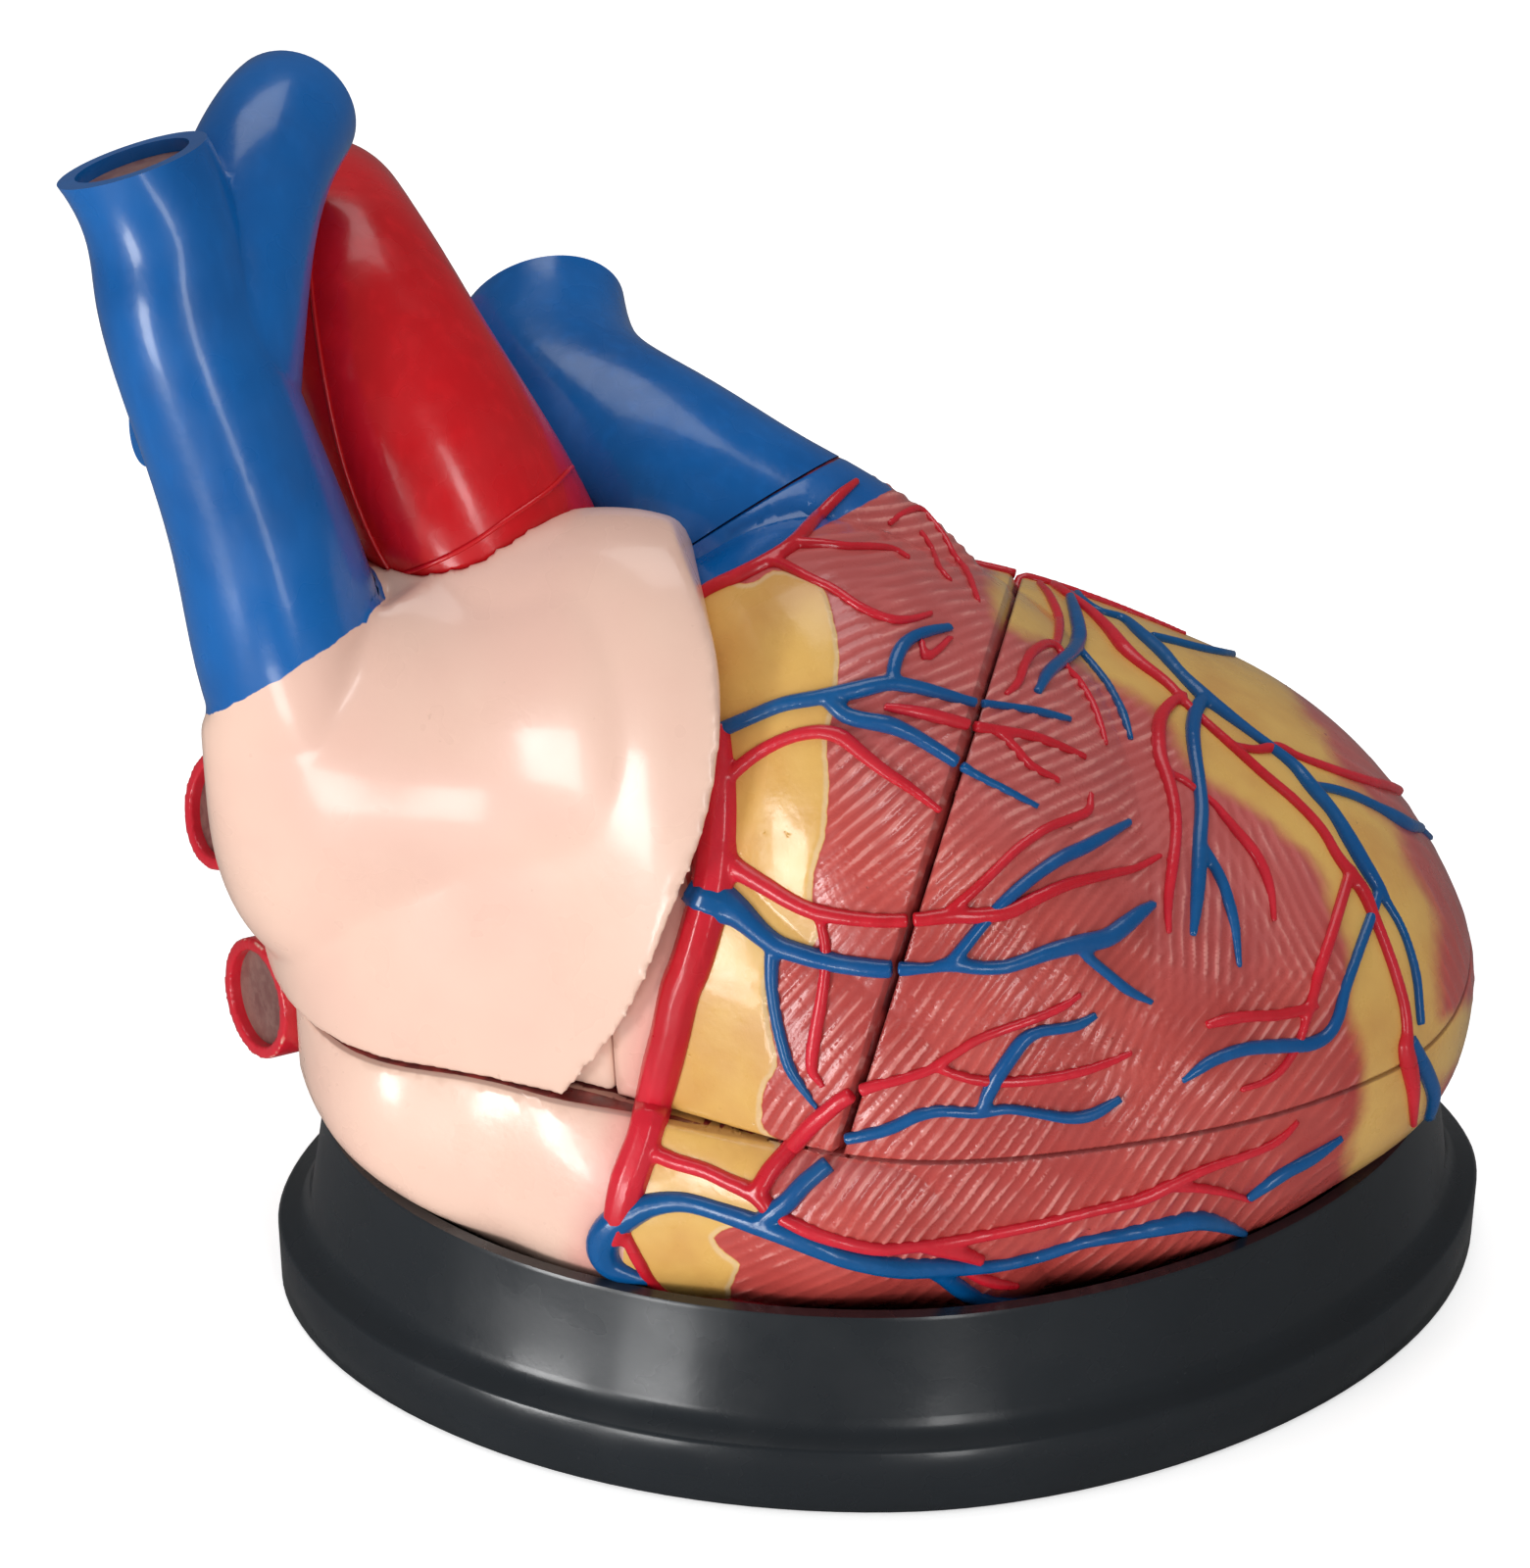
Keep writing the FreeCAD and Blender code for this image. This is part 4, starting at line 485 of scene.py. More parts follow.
class Paint:
    """A paint or plastic under construction: wraps one Principled shader and adds nodes to it."""

    def __init__(self, name, roughness=0.3, coat=0.0, metallic=0.0, specular=0.4):
        self.material = bpy.data.materials.new(name)
        self.material.use_nodes = True
        self.tree = self.material.node_tree
        self.shader = self.tree.nodes["Principled BSDF"]
        self.shader.inputs["Roughness"].default_value = roughness
        self.shader.inputs["Metallic"].default_value = metallic
        self.shader.inputs["Specular IOR Level"].default_value = specular
        self.shader.inputs["Coat Weight"].default_value = coat
        self.shader.inputs["Coat Roughness"].default_value = 0.13
        self.place = self.add("ShaderNodeTexCoord").outputs["Object"]

    def add(self, kind, **settings):
        node = self.tree.nodes.new(kind)
        for key, value in settings.items():
            setattr(node, key, value)
        return node

    def link(self, source, target):
        if isinstance(source, (int, float)):
            target.default_value = source
        elif isinstance(source, bpy.types.NodeSocket):
            self.tree.links.new(source, target)
        else:
            target.default_value = (*source, 1.0)[:4]

    def attribute(self, name):
        return self.add("ShaderNodeAttribute", attribute_name=name).outputs["Fac"]

    def noise(self, scale, detail=3.0, stretch=None, distortion=0.0):
        node = self.add("ShaderNodeTexNoise")
        node.inputs["Scale"].default_value = scale
        node.inputs["Detail"].default_value = detail
        node.inputs["Distortion"].default_value = distortion
        source = self.place
        if stretch:
            mapping = self.add("ShaderNodeMapping")
            mapping.inputs["Scale"].default_value = stretch
            self.link(source, mapping.inputs["Vector"])
            source = mapping.outputs["Vector"]
        self.link(source, node.inputs["Vector"])
        return node.outputs["Fac"]

    def ramp(self, value, low, high, out_low=0.0, out_high=1.0):
        node = self.add("ShaderNodeMapRange", interpolation_type="SMOOTHSTEP")
        for key, number in (("From Min", low), ("From Max", high), ("To Min", out_low), ("To Max", out_high)):
            node.inputs[key].default_value = number
        self.link(value, node.inputs["Value"])
        return node.outputs["Result"]

    def maths(self, operation, first, second):
        node = self.add("ShaderNodeMath", operation=operation)
        self.link(first, node.inputs[0])
        self.link(second, node.inputs[1])
        return node.outputs[0]

    def mix(self, factor, under, over, blend="MIX"):
        node = self.add("ShaderNodeMix", data_type="RGBA", blend_type=blend)
        self.link(factor, node.inputs["Factor"])
        self.link(under, node.inputs[6])
        self.link(over, node.inputs[7])
        return node.outputs[2]

    def patches(self, scale, detail, low, high, least=0.0, most=1.0):
        return self.ramp(self.noise(scale, detail), low, high, least, most)

    def clouds(self, under, over, scale, detail=3.0, low=0.35, high=0.75, share=1.0):
        """Soft patches of one colour over another."""
        return self.mix(self.patches(scale, detail, low, high, 0.0, share), under, over)

    def ragged(self, name, spread, scale=260.0):
        """A painted edge: the attribute in mm, shifted by noise so that the brush shows."""
        shift = self.maths("MULTIPLY", self.maths("SUBTRACT", self.noise(scale, 3.0), 0.5), spread)
        return self.maths("ADD", self.attribute(name), shift)

    def inside(self, name, under, over, softness, spread, scale=260.0):
        """One colour over another inside a painted edge."""
        return self.mix(self.ramp(self.ragged(name, spread, scale), -softness, softness), under, over)

    def cut_faces(self, lining, faces):
        return self.mix(self.ramp(self.attribute("parting"), -0.1, 0.1), lining, faces)

    def finish(self, colour, bumps=(), roughness=None):
        """Links the colour and the bumps, each of them (height, depth in m)."""
        self.link(colour, self.shader.inputs["Base Color"])
        if roughness is not None:
            self.link(roughness, self.shader.inputs["Roughness"])
        normal = None
        for height, depth in bumps:
            node = self.add("ShaderNodeBump")
            node.inputs["Distance"].default_value = depth
            node.inputs["Strength"].default_value = 1.0
            self.link(height, node.inputs["Height"])
            if normal is not None:
                self.link(normal, node.inputs["Normal"])
            normal = node.outputs["Normal"]
        if normal is not None:
            self.link(normal, self.shader.inputs["Normal"])
        return self.material


def scaled(colour, share):
    return tuple(channel * share for channel in colour)


def brushed(paint, ground, deep, light_share=0.35):
    """Hand-painted enamel: cloudy depth and fine brush marks over a ground colour."""
    colour = paint.clouds(ground, deep, 28.0, share=0.55)
    marks = paint.ramp(paint.noise(300.0, 2.0, stretch=(1.0, 1.0, 0.22)), 0.45, 0.8, 0.0, light_share)
    lighter = tuple(min(1.0, channel * 1.25 + 0.003) for channel in ground)
    return paint.mix(marks, colour, lighter)


def enamel(name, ground, deep, roughness=0.26, coat=0.3, orange_peel=0.00012):
    paint = Paint(name, roughness, coat)
    rough = paint.patches(90.0, 2.0, 0.3, 0.8, roughness * 0.8, roughness * 1.35)
    return paint.finish(brushed(paint, ground, deep), [(paint.noise(55.0, 2.0), orange_peel * 2.0),
                                                       (paint.noise(520.0, 2.0), orange_peel * 0.35)], rough)


def wall_paint(colours):
    """Ventricle wall: fibres, fat, atrial side, blue root, lining and parting faces."""
    paint = Paint("heart_wall_paint", 0.34, 0.45)
    fibre = paint.attribute("fibre")
    colour = paint.clouds(colours.muscle, colours.muscle_dark, 34.0, 4.0, 0.3, 0.7, 0.75)
    # Painted light from above: the upward-facing side of the wall is lighter and more mauve.
    colour = paint.mix(paint.ramp(paint.attribute("upper"), 0.0, 1.0, 0.0, 0.4), colour, colours.muscle_top_light)
    # Darker between the fibres and where they fade; lighter on their ridges, as dry brushing that is also a
    # painted highlight.
    colour = paint.mix(paint.ramp(fibre, 0.0, 0.25, 0.4, 0.0), colour, colours.muscle_dark)
    ridge_brush_and_highlight = paint.maths("MULTIPLY", paint.ramp(fibre, 0.3, 0.75), paint.patches(130.0, 3.0, 0.3, 0.62, 0.25))
    colour = paint.mix(paint.maths("MULTIPLY", ridge_brush_and_highlight, 0.8), colour, colours.muscle_light)
    yellow = paint.clouds(colours.fat, colours.fat_shade, 48.0, share=0.7)
    # Painted highlight: a paler band just inside the rounded edge of the raised fat.
    rim = paint.ragged("fat", 1.0)
    fat_edge_highlight = paint.maths("MULTIPLY", paint.ramp(rim, 0.0, 0.4), paint.ramp(rim, 0.8, 1.6, 1.0, 0.0))
    fat_with_highlight = paint.mix(paint.maths("MULTIPLY", fat_edge_highlight, 0.5), yellow, HIGHLIGHT_ON_FAT_EDGE)
    colour = paint.inside("groove", colour, yellow, 2.6, 5.0, 90.0)
    colour = paint.mix(paint.ramp(rim, -0.12, 0.2), colour, fat_with_highlight)
    skin = paint.clouds(colours.peach, colours.peach_blush, 22.0, share=0.6)
    blush = paint.ramp(paint.ragged("blush", 3.0, 60.0), 2.0, 11.0, 0.55, 0.0)
    skin = paint.mix(blush, skin, colours.muscle_light)
    colour = paint.inside("atrial", colour, skin, 0.15, 0.6)
    blue = paint.clouds(colours.vein, colours.vein_deep, 40.0, share=0.6)
    colour = paint.inside("root", colour, blue, 0.2, 0.9)
    # Painted shade along the joints: the skin darkens towards the parting colour near a joint's edge.
    colour = paint.mix(paint.ramp(paint.attribute("seam"), 0.1, 0.7, 0.45, 0.0), colour, colours.parting)
    lining = paint.clouds(colours.chamber, colours.muscle_light, 70.0, 4.0, 0.35, 0.7, 0.8)
    # Cut faces in the parting colour, which is dark also as painted shade inside the joints.
    faces = paint.clouds(colours.parting, colours.muscle_dark, 160.0, 4.0, 0.4, 0.7, 0.6)
    inner = paint.cut_faces(lining, faces)
    colour = paint.mix(paint.ramp(paint.ragged("depth", 0.5), 1.0, 1.3), colour, inner)
    rough = paint.patches(120.0, 3.0, 0.3, 0.75, 0.24, 0.42)
    return paint.finish(colour, [(paint.noise(60.0, 3.0), 0.0003), (paint.noise(700.0, 3.0), 0.00006)], rough)


def atrium_paint(colours):
    """Atria, auricle and the foot of the great vein: peach with a faint blush, blue above the paint edge."""
    paint = Paint("heart_atrium_paint", 0.3, 0.4)
    skin = paint.clouds(colours.peach, colours.peach_blush, 16.0, share=0.7)
    skin = paint.clouds(skin, FRECKLE, 420.0, 2.0, 0.74, 0.8, 0.35)
    blue = brushed(paint, colours.vein, colours.vein_deep, 0.2)
    colour = paint.inside("cava", skin, blue, 0.12, 1.6, 180.0)
    lining = paint.clouds(colours.chamber, colours.peach_blush, 80.0, 4.0, 0.35, 0.7)
    # Cut faces in the parting colour, which is dark also as painted shade inside the joints.
    inner = paint.cut_faces(lining, colours.parting)
    colour = paint.mix(paint.ramp(paint.attribute("depth"), 3.2, 3.6), colour, inner)
    rough = paint.patches(70.0, 2.0, 0.3, 0.8, 0.26, 0.4)
    return paint.finish(colour, [(paint.noise(30.0, 2.0), 0.0006), (paint.noise(480.0, 2.0), 0.00004)], rough)


def stub_paint(colours):
    """Vein stubs: peach wall with a red rim round the mouth."""
    paint = Paint("vein_stub_paint", 0.3, 0.35)
    red = brushed(paint, colours.coronary_red, colours.artery_deep)
    skin = paint.clouds(colours.peach, colours.peach_blush, 30.0)
    return paint.finish(paint.inside("mouth", skin, red, 0.2, 0.8), [(paint.noise(90.0, 2.0), 0.0003)])


def disc_paint(colours):
    paint = Paint("lumen_paint", 0.42, 0.12)
    colour = paint.clouds(colours.lumen, colours.lumen_light, 60.0, 3.0, 0.4, 0.7, 0.6)
    colour = paint.clouds(colour, colours.lumen_light, 420.0, 4.0, 0.42, 0.62, 0.35)
    return paint.finish(colour, [(paint.noise(300.0, 3.0), 0.00025)])


def stand_plastic(colours):
    paint = Paint("stand_plastic", 0.27, 0.25)
    colour = paint.clouds(colours.stand, scaled(colours.stand, 1.35), 20.0, share=0.6)
    colour = paint.clouds(colour, DUST, 900.0, 3.0, 0.7, 0.8, 0.18)
    rough = paint.patches(45.0, 4.0, 0.3, 0.75, 0.22, 0.36)
    return paint.finish(colour, [(paint.noise(24.0, 2.0), 0.0006), (paint.noise(650.0, 2.0), 0.00002)], rough)


def foam_stuff(colours):
    paint = Paint("cradle_foam", 0.95)
    pores = paint.add("ShaderNodeTexVoronoi", feature="F1")
    pores.inputs["Scale"].default_value = 900.0
    paint.link(paint.place, pores.inputs["Vector"])
    # Painted shade in the pores: the foam darkens to 0.3 of its colour in their hollows, which the same
    # pattern also sinks as bumps.
    depth = paint.ramp(pores.outputs["Distance"], 0.1, 0.6)
    return paint.finish(paint.mix(depth, scaled(colours.foam, 0.3), colours.foam), [(depth, 0.0008)])


def rubber():
    paint = Paint("foot_rubber", 0.8)
    colour = paint.clouds(RUBBER_DARK, RUBBER_LIGHT, 300.0, 3.0, 0.4, 0.7)
    return paint.finish(colour, [(paint.noise(700.0, 3.0), 0.0002)])


def plating(name, tint, streak):
    """Nickel or ground steel with fine turned marks."""
    paint = Paint(name, 0.28, 0.0, metallic=1.0)
    marks = paint.noise(900.0, 2.0, stretch=streak)
    colour = paint.mix(paint.ramp(marks, 0.35, 0.7, 0.0, 0.5), tint, scaled(tint, 0.72))
    return paint.finish(colour, [(marks, 0.00006)], paint.ramp(marks, 0.3, 0.7, 0.2, 0.4))


# ---- meshes
@contextmanager
def reworked(mesh):
    """The mesh opened for work on its corners and faces, and written back afterwards."""
    work = bmesh.new()
    work.from_mesh(mesh)
    yield work
    work.to_mesh(mesh)
    work.free()


def new_object(name, data):
    thing = bpy.data.objects.new(name, data)
    bpy.context.scene.collection.objects.link(thing)
    return thing


def merged_copy(name, *nodes):
    """One mesh from the nodes' loose triangles, with their corners merged."""
    mesh = bpy.data.meshes.new(name)
    for node in nodes:
        part = bmesh.new()
        part.from_mesh(NODES[node].data)
        bmesh.ops.remove_doubles(part, verts=part.verts, dist=SAME_CORNER)
        part.from_mesh(mesh)
        part.to_mesh(mesh)
        part.free()
    mesh.materials.clear()
    return new_object(name, mesh)


def made_mesh(thing):
    """The mesh that an object's modifiers or its bevel make."""
    graph = bpy.context.evaluated_depsgraph_get()
    return bpy.data.meshes.new_from_object(thing.evaluated_get(graph))


def reskin(piece, grain, softening):
    """Lays an even, slightly rounded skin over the piece and keeps it as the piece's own mesh."""
    skin = piece.modifiers.new("skin", "REMESH")
    skin.mode = "VOXEL"
    skin.voxel_size = grain * 1.0
    skin.use_smooth_shade = True
    soften = piece.modifiers.new("soften", "SMOOTH")
    soften.factor = 0.5
    soften.iterations = softening
    mesh = made_mesh(piece)
    piece.modifiers.clear()
    old = piece.data
    piece.data = mesh
    bpy.data.meshes.remove(old)
    mesh.name = piece.name
    return piece


def trim(mesh, kept):
    """Cuts away the corners that aren't kept."""
    with reworked(mesh) as work:
        work.verts.ensure_lookup_table()
        bmesh.ops.delete(work, geom=[work.verts[index] for index in np.flatnonzero(~kept)], context="VERTS")


def shade(mesh, sharp):
    """Shades a mesh smooth, but for edges sharper than this many degrees."""
    mesh.shade_smooth()
    mesh.set_sharp_from_angle(angle=math.radians(sharp))


def smooth_copy(name, *nodes):
    """The nodes' own surface with merged corners, smooth but for its true edges."""
    piece = merged_copy(name, *nodes)
    shade(piece.data, CAD_SHARP)
    return piece


def read_out(rows, key, *shape):
    """One property of every row, as an array."""
    values = np.empty(len(rows) * math.prod(shape), np.float32)
    rows.foreach_get(key, values)
    return values.reshape(-1, *shape).astype(float)


def points_of(mesh):
    return read_out(mesh.vertices, "co", 3)


def normals_of(mesh):
    return read_out(mesh.vertex_normals, "vector", 3)


def keep_values(mesh, name, values):
    attribute = mesh.attributes.get(name) or mesh.attributes.new(name, "FLOAT", "POINT")
    attribute.data.foreach_set("value", np.asarray(values, np.float32))


def coat(mesh, material):
    mesh.materials.clear()
    mesh.materials.append(material)


def body_of(node):
    return NODES[node]["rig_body"]


def wear(piece, body, slot, material, *replaced):
    """Puts the finish on a piece and hands it to its body."""
    coat(piece.data, material)
    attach(piece, body)
    if replaced:
        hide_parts(*replaced)


def search_tree(names, wanted=None):
    """Search tree of the nodes' wanted triangles, and the node that each of them belongs to."""
    corners = []
    faces = []
    owner = []
    for name in names:
        mesh = NODES[name].data
        mesh.calc_loop_triangles()
        start = len(corners)
        corners.extend(vertex.co.copy() for vertex in mesh.vertices)
        chosen = [triangle for triangle in mesh.loop_triangles if wanted is None or wanted(triangle)]
        faces.extend([start + index for index in triangle.vertices] for triangle in chosen)
        owner.extend([name] * len(chosen))
    return BVHTree.FromPolygons(corners, faces), owner


class Surface:
    """The CAD surface of some nodes, for dropping lines on it and for measuring to it."""

    def __init__(self, *names):
        self.tree, self.owner = search_tree(names)

    def drop(self, view, across, down):
        """Point, normal and node under a place on the board, or None."""
        eye, right, up, forward = view
        sight = forward + right * ((across - BOARD_WIDTH / 2) / BOARD_FOCUS)
        sight += up * ((BOARD_HEIGHT / 2 - down) / BOARD_FOCUS)
        sight.normalize()
        point, normal, index, _ = self.tree.ray_cast(eye, sight)
        if point is None:
            return None
        if normal.dot(sight) > 0:
            normal = -normal
        return point, normal, self.owner[index]

    def distance_mm(self, places):
        return np.array([self.tree.find_nearest(Vector(place))[3] for place in places]) / MM


def on_board(view, places):
    """Board places of points in the room."""
    eye, right, up, forward = (np.array(item) for item in view)
    ray = places - eye
    depth = ray @ forward
    return np.stack([BOARD_WIDTH / 2 + BOARD_FOCUS * (ray @ right) / depth,
                     BOARD_HEIGHT / 2 - BOARD_FOCUS * (ray @ up) / depth], -1)


def facing(view, places, normals):
    toward = np.array(view[0]) - places
    toward /= np.linalg.norm(toward, axis=1)[:, None]
    return np.sum(normals * toward, axis=1)


def line_distance(spots, line):
    """Distance in mm from board places to an open line."""
    line = np.array(line, float)
    best = np.full(len(spots), np.inf)
    for start, end in zip(line[:-1], line[1:]):
        run = end - start
        share = np.clip(((spots - start) @ run) / (run @ run), 0.0, 1.0)
        best = np.minimum(best, np.linalg.norm(spots - start - share[:, None] * run, axis=1))
    return best / UNITS_PER_MM


def edge_distance(spots, outline):
    """Distance in mm from board places to a closed outline, positive inside it."""
    closed = np.vstack([outline, outline[:1]])
    inside = np.zeros(len(spots), bool)
    for start, end in zip(closed[:-1], closed[1:]):
        crosses = (start[1] > spots[:, 1]) != (end[1] > spots[:, 1])
        if end[1] != start[1]:
            reach = start[0] + (spots[:, 1] - start[1]) * (end[0] - start[0]) / (end[1] - start[1])
            inside ^= crosses & (spots[:, 0] < reach)
    distance = line_distance(spots, closed)
    return np.where(inside, distance, -distance)


def eased(before, start, end, after, step):
    """Even places from start to end on the smooth curve through four points."""
    count = max(1, int(np.linalg.norm((end - start)[:2]) / step))
    shares = [part / count for part in range(count)]
    return [0.5 * (2 * start + (end - before) * t + (2 * before - 5 * start + 4 * end - after) * t ** 2
                   + (3 * start - before - 3 * end + after) * t ** 3) for t in shares]


def flowing(route, step):
    """Even places along a smooth curve through a route's points."""
    knots = np.array(route, float)
    ends = np.vstack([2 * knots[0] - knots[1], knots, 2 * knots[-1] - knots[-2]])
    places = [place for index in range(len(knots) - 1) for place in eased(*ends[index:index + 4], step)]
    return np.array(places + [knots[-1]])


def rounded_outline(outline, step=9.0):
    """Closed outline through the same places, with its corners rounded."""
    knots = np.array(outline, float)
    fours = zip(*(np.roll(knots, shift, axis=0) for shift in (1, 0, -1, -2)))
    return np.array([place for four in fours for place in eased(*four, step)])


def waves(places, pitch, seed, count=9):
    """Smooth random field from about -1 to 1 with features of this size."""
    draw = np.random.default_rng(seed)
    total = np.zeros(len(places))
    for turn in range(count):
        way = draw.normal(size=3)
        way /= np.linalg.norm(way)
        rate = 2.0 * math.pi / (pitch * draw.uniform(*WAVE_SPREAD))
        total += np.sin(places @ way * rate + draw.uniform(0.0, 2.0 * math.pi))
    return total / math.sqrt(count)


def layered_waves(places, layers, seed, mean=0.0):
    """Random fields added up, each given by its size in m and its strength."""
    return sum((waves(places, pitch, seed + turn) * strength
                for turn, (pitch, strength) in enumerate(layers)), mean)


def plane_distance(places, point, normal):
    return ((places - np.array(point)) @ np.array(normal)) / MM


# ---- the painted wall of the ventricles
def sees_out(tree, place, normal):
    """Whether a spot on the surface can be seen from outside the heart."""
    direct = tree.ray_cast(place + normal * SKIN_CLEARANCE_MM * MM, normal, SIGHT)
    if direct[0] is None:
        return True
    if direct[3] < PARTING_REACH_MM * MM:
        return False
    side = normal.orthogonal().normalized()
    other = normal.cross(side)
    escapes = 0
    for across, along in SLANTS:
        ray = (normal * SLANT_RISE + side * across + other * along).normalized()
        escapes += tree.ray_cast(place + normal * SLANT_CLEARANCE_MM * MM, ray, SIGHT)[0] is None
    return escapes >= SLANTS_NEEDED


def on_level_joint(triangle):
    height = triangle.center.z / MM - PARTING_HEIGHT_MM
    return abs(triangle.normal.z) > LEVEL_FACE and abs(height) < LEVEL_FACE_MM


def outer_skin(nodes, everything):
    """Search tree of the nodes' triangles that can be seen from outside."""
    def shows(triangle):
        return not on_level_joint(triangle) and sees_out(everything.tree, triangle.center, triangle.normal)

    return search_tree(nodes, shows)[0]


def depth_below(skin, places):
    return np.array([skin.find_nearest(Vector(place))[3] for place in places]) / MM


def mark_depth(mesh, skin):
    """Keeps each corner's depth below the outer skin and its nearness to a parting plane, in mm."""
    places = points_of(mesh)
    keep_values(mesh, "depth", depth_below(skin, places))
    near = [reach - np.abs(plane_distance(places, point, normal)) for point, normal, reach in PARTING_PLANES]
    keep_values(mesh, "parting", np.maximum.reduce(near))


def seam_distance(places):
    """Distance in mm from the edges of the level joint and, above it, of the lid's joint."""
    height = places[:, 2] / MM - PARTING_HEIGHT_MM
    level = np.abs(np.abs(height) - SEAM_HALF_MM)
    lid = np.abs(np.abs(plane_distance(places, LID_POINT, LID_NORMAL)) - LID_HALF_MM)
    return np.where(height > 0, np.minimum(level, lid), level)


def fibre_weights(spots):
    """How strongly each family of fibres is felt at the board places."""
    weights = np.zeros((len(FIBRE_FAMILIES), len(spots)))
    for across, down, angle in FIBRE_FIELD:
        family = int(np.argmin([abs(angle - known) for known in FIBRE_FAMILIES]))
        gap = np.linalg.norm(spots - (across, down), axis=1)
        weights[family] += np.exp(-0.5 * (gap / FIBRE_REACH) ** 2) + 1e-9 / (1.0 + gap)
    weights = weights ** FIBRE_CONTRAST
    return weights / weights.sum(axis=0)


def fibre_relief(places, normals, pitch, seed):
    """Height from 0 to 1 of raised, slightly wavy muscle fibres."""
    right, up = np.array(FRONT[1]), np.array(FRONT[2])
    weights = fibre_weights(on_board(FRONT, places))
    bend = layered_waves(places, FIBRE_BENDS, seed)
    height = np.zeros(len(places))
    for angle, weight in zip(FIBRE_FAMILIES, weights):
        across = right * -math.sin(math.radians(angle)) + up * math.cos(math.radians(angle))
        phase = places @ across / pitch + bend
        ridge = (0.5 + 0.5 * np.cos(2.0 * math.pi * phase)) ** FIBRE_SHARPNESS
        spread = np.clip(1.25 - np.abs(normals @ across) ** 2 * 1.25, 0.0, 1.0)
        height += weight * ridge * spread
    patch = layered_waves(places, FIBRE_PATCHES, seed + len(FIBRE_BENDS), FIBRE_MEAN)
    return height * np.clip(patch, *FIBRE_RANGE)


def split_edges(work, rounds, too_long):
    """Halves the edges that are too long, again and again."""
    for turn in range(rounds):
        edges = [edge for edge in work.edges if too_long(edge)]
        if not edges:
            break
        bmesh.ops.subdivide_edges(work, edges=edges, cuts=1)
        bmesh.ops.triangulate(work, faces=[face for face in work.faces if len(face.verts) > 3])


def refine_skin(mesh, everything, grain):
    """Cuts the outside of a CAD surface into triangles no longer than the grain."""
    with reworked(mesh) as work:
        split_edges(work, FIRST_ROUNDS, lambda edge: edge.calc_length() > FIRST_GRAIN_MM * MM)
        work.normal_update()
        outer = work.faces.layers.int.new("outer")
        for face in work.faces:
            face[outer] = sees_out(everything.tree, face.calc_center_median(), face.normal)

        def too_long(edge):
            middle = (edge.verts[0].co + edge.verts[1].co) / 2
            on_muscle = (middle.z > FIBRE_FOOT
                         and (middle - GROOVE_POINT).dot(GROOVE_NORMAL) > -FIBRE_MARGIN_MM * MM)
            longest = grain if on_muscle else grain * PLAIN_GRAIN
            return edge.calc_length() > longest and any(face[outer] for face in edge.link_faces)

        split_edges(work, GRAIN_ROUNDS, too_long)


def raise_tongue(mesh, point, normal, inset, height):
    """Raises the inner part of a parting face into the open joint; the height in mm depends on X."""
    with reworked(mesh) as work:
        work.normal_update()
        face_side = [face for face in work.faces if face.normal.dot(normal) > CUT_FACE
                     and abs((face.calc_center_median() - point).dot(normal)) < CUT_FACE_MM * MM]
        bmesh.ops.inset_region(work, faces=face_side, thickness=inset * MM, use_even_offset=True)
        for corner in {corner for face in face_side for corner in face.verts}:
            corner.co += normal * height(corner.co.x / MM) * MM


def root_tongue(across):
    return max(ROOT_TONGUE_LEAST_MM, ROOT_TONGUE_MM + (across - TRUNK_POINT.x / MM) * ROOT_TONGUE_SLOPE)


def side_edge(view, places, normals, turn):
    """Distance in mm from where the wall turns out of sight, positive on the near side."""
    return (facing(view, places, normals) + turn) * SIDE_FADE_MM


def zones(places, normals, trunk):
    """Paint zones of the wall in mm from their edges, positive inside."""
    spots = on_board(FRONT, places)
    seen = side_edge(FRONT, places, normals, SIDE_TURN)
    front_fat = np.minimum(edge_distance(spots, rounded_outline(FRONT_FAT_EDGE)),
                           side_edge(FRONT, places, normals, FAT_TURN))
    rear_fat = np.minimum(edge_distance(on_board(REAR, places), rounded_outline(REAR_FAT_EDGE)),
                          side_edge(REAR, places, normals, SIDE_TURN))
    root = np.minimum(plane_distance(places, TRUNK_POINT, TRUNK_NORMAL) + ROOT_DEPTH_MM,
                      ROOT_REACH_MM - np.linalg.norm(places - np.array(TRUNK_POINT), axis=1) / MM)
    return {"fat": np.maximum(front_fat, rear_fat),
            "groove": np.minimum(edge_distance(spots, rounded_outline(GROOVE_FAT_EDGE)), seen),
            "atrial": np.minimum(-plane_distance(places, GROOVE_POINT, GROOVE_NORMAL),
                                 -plane_distance(places, GROOVE_TOP_POINT, GROOVE_TOP_NORMAL)),
            "blush": np.where(seen > 0, line_distance(spots, BLUSH_LINE), NO_BLUSH_MM),
            "root": root if trunk else np.full(len(places), NO_ROOT_MM)}


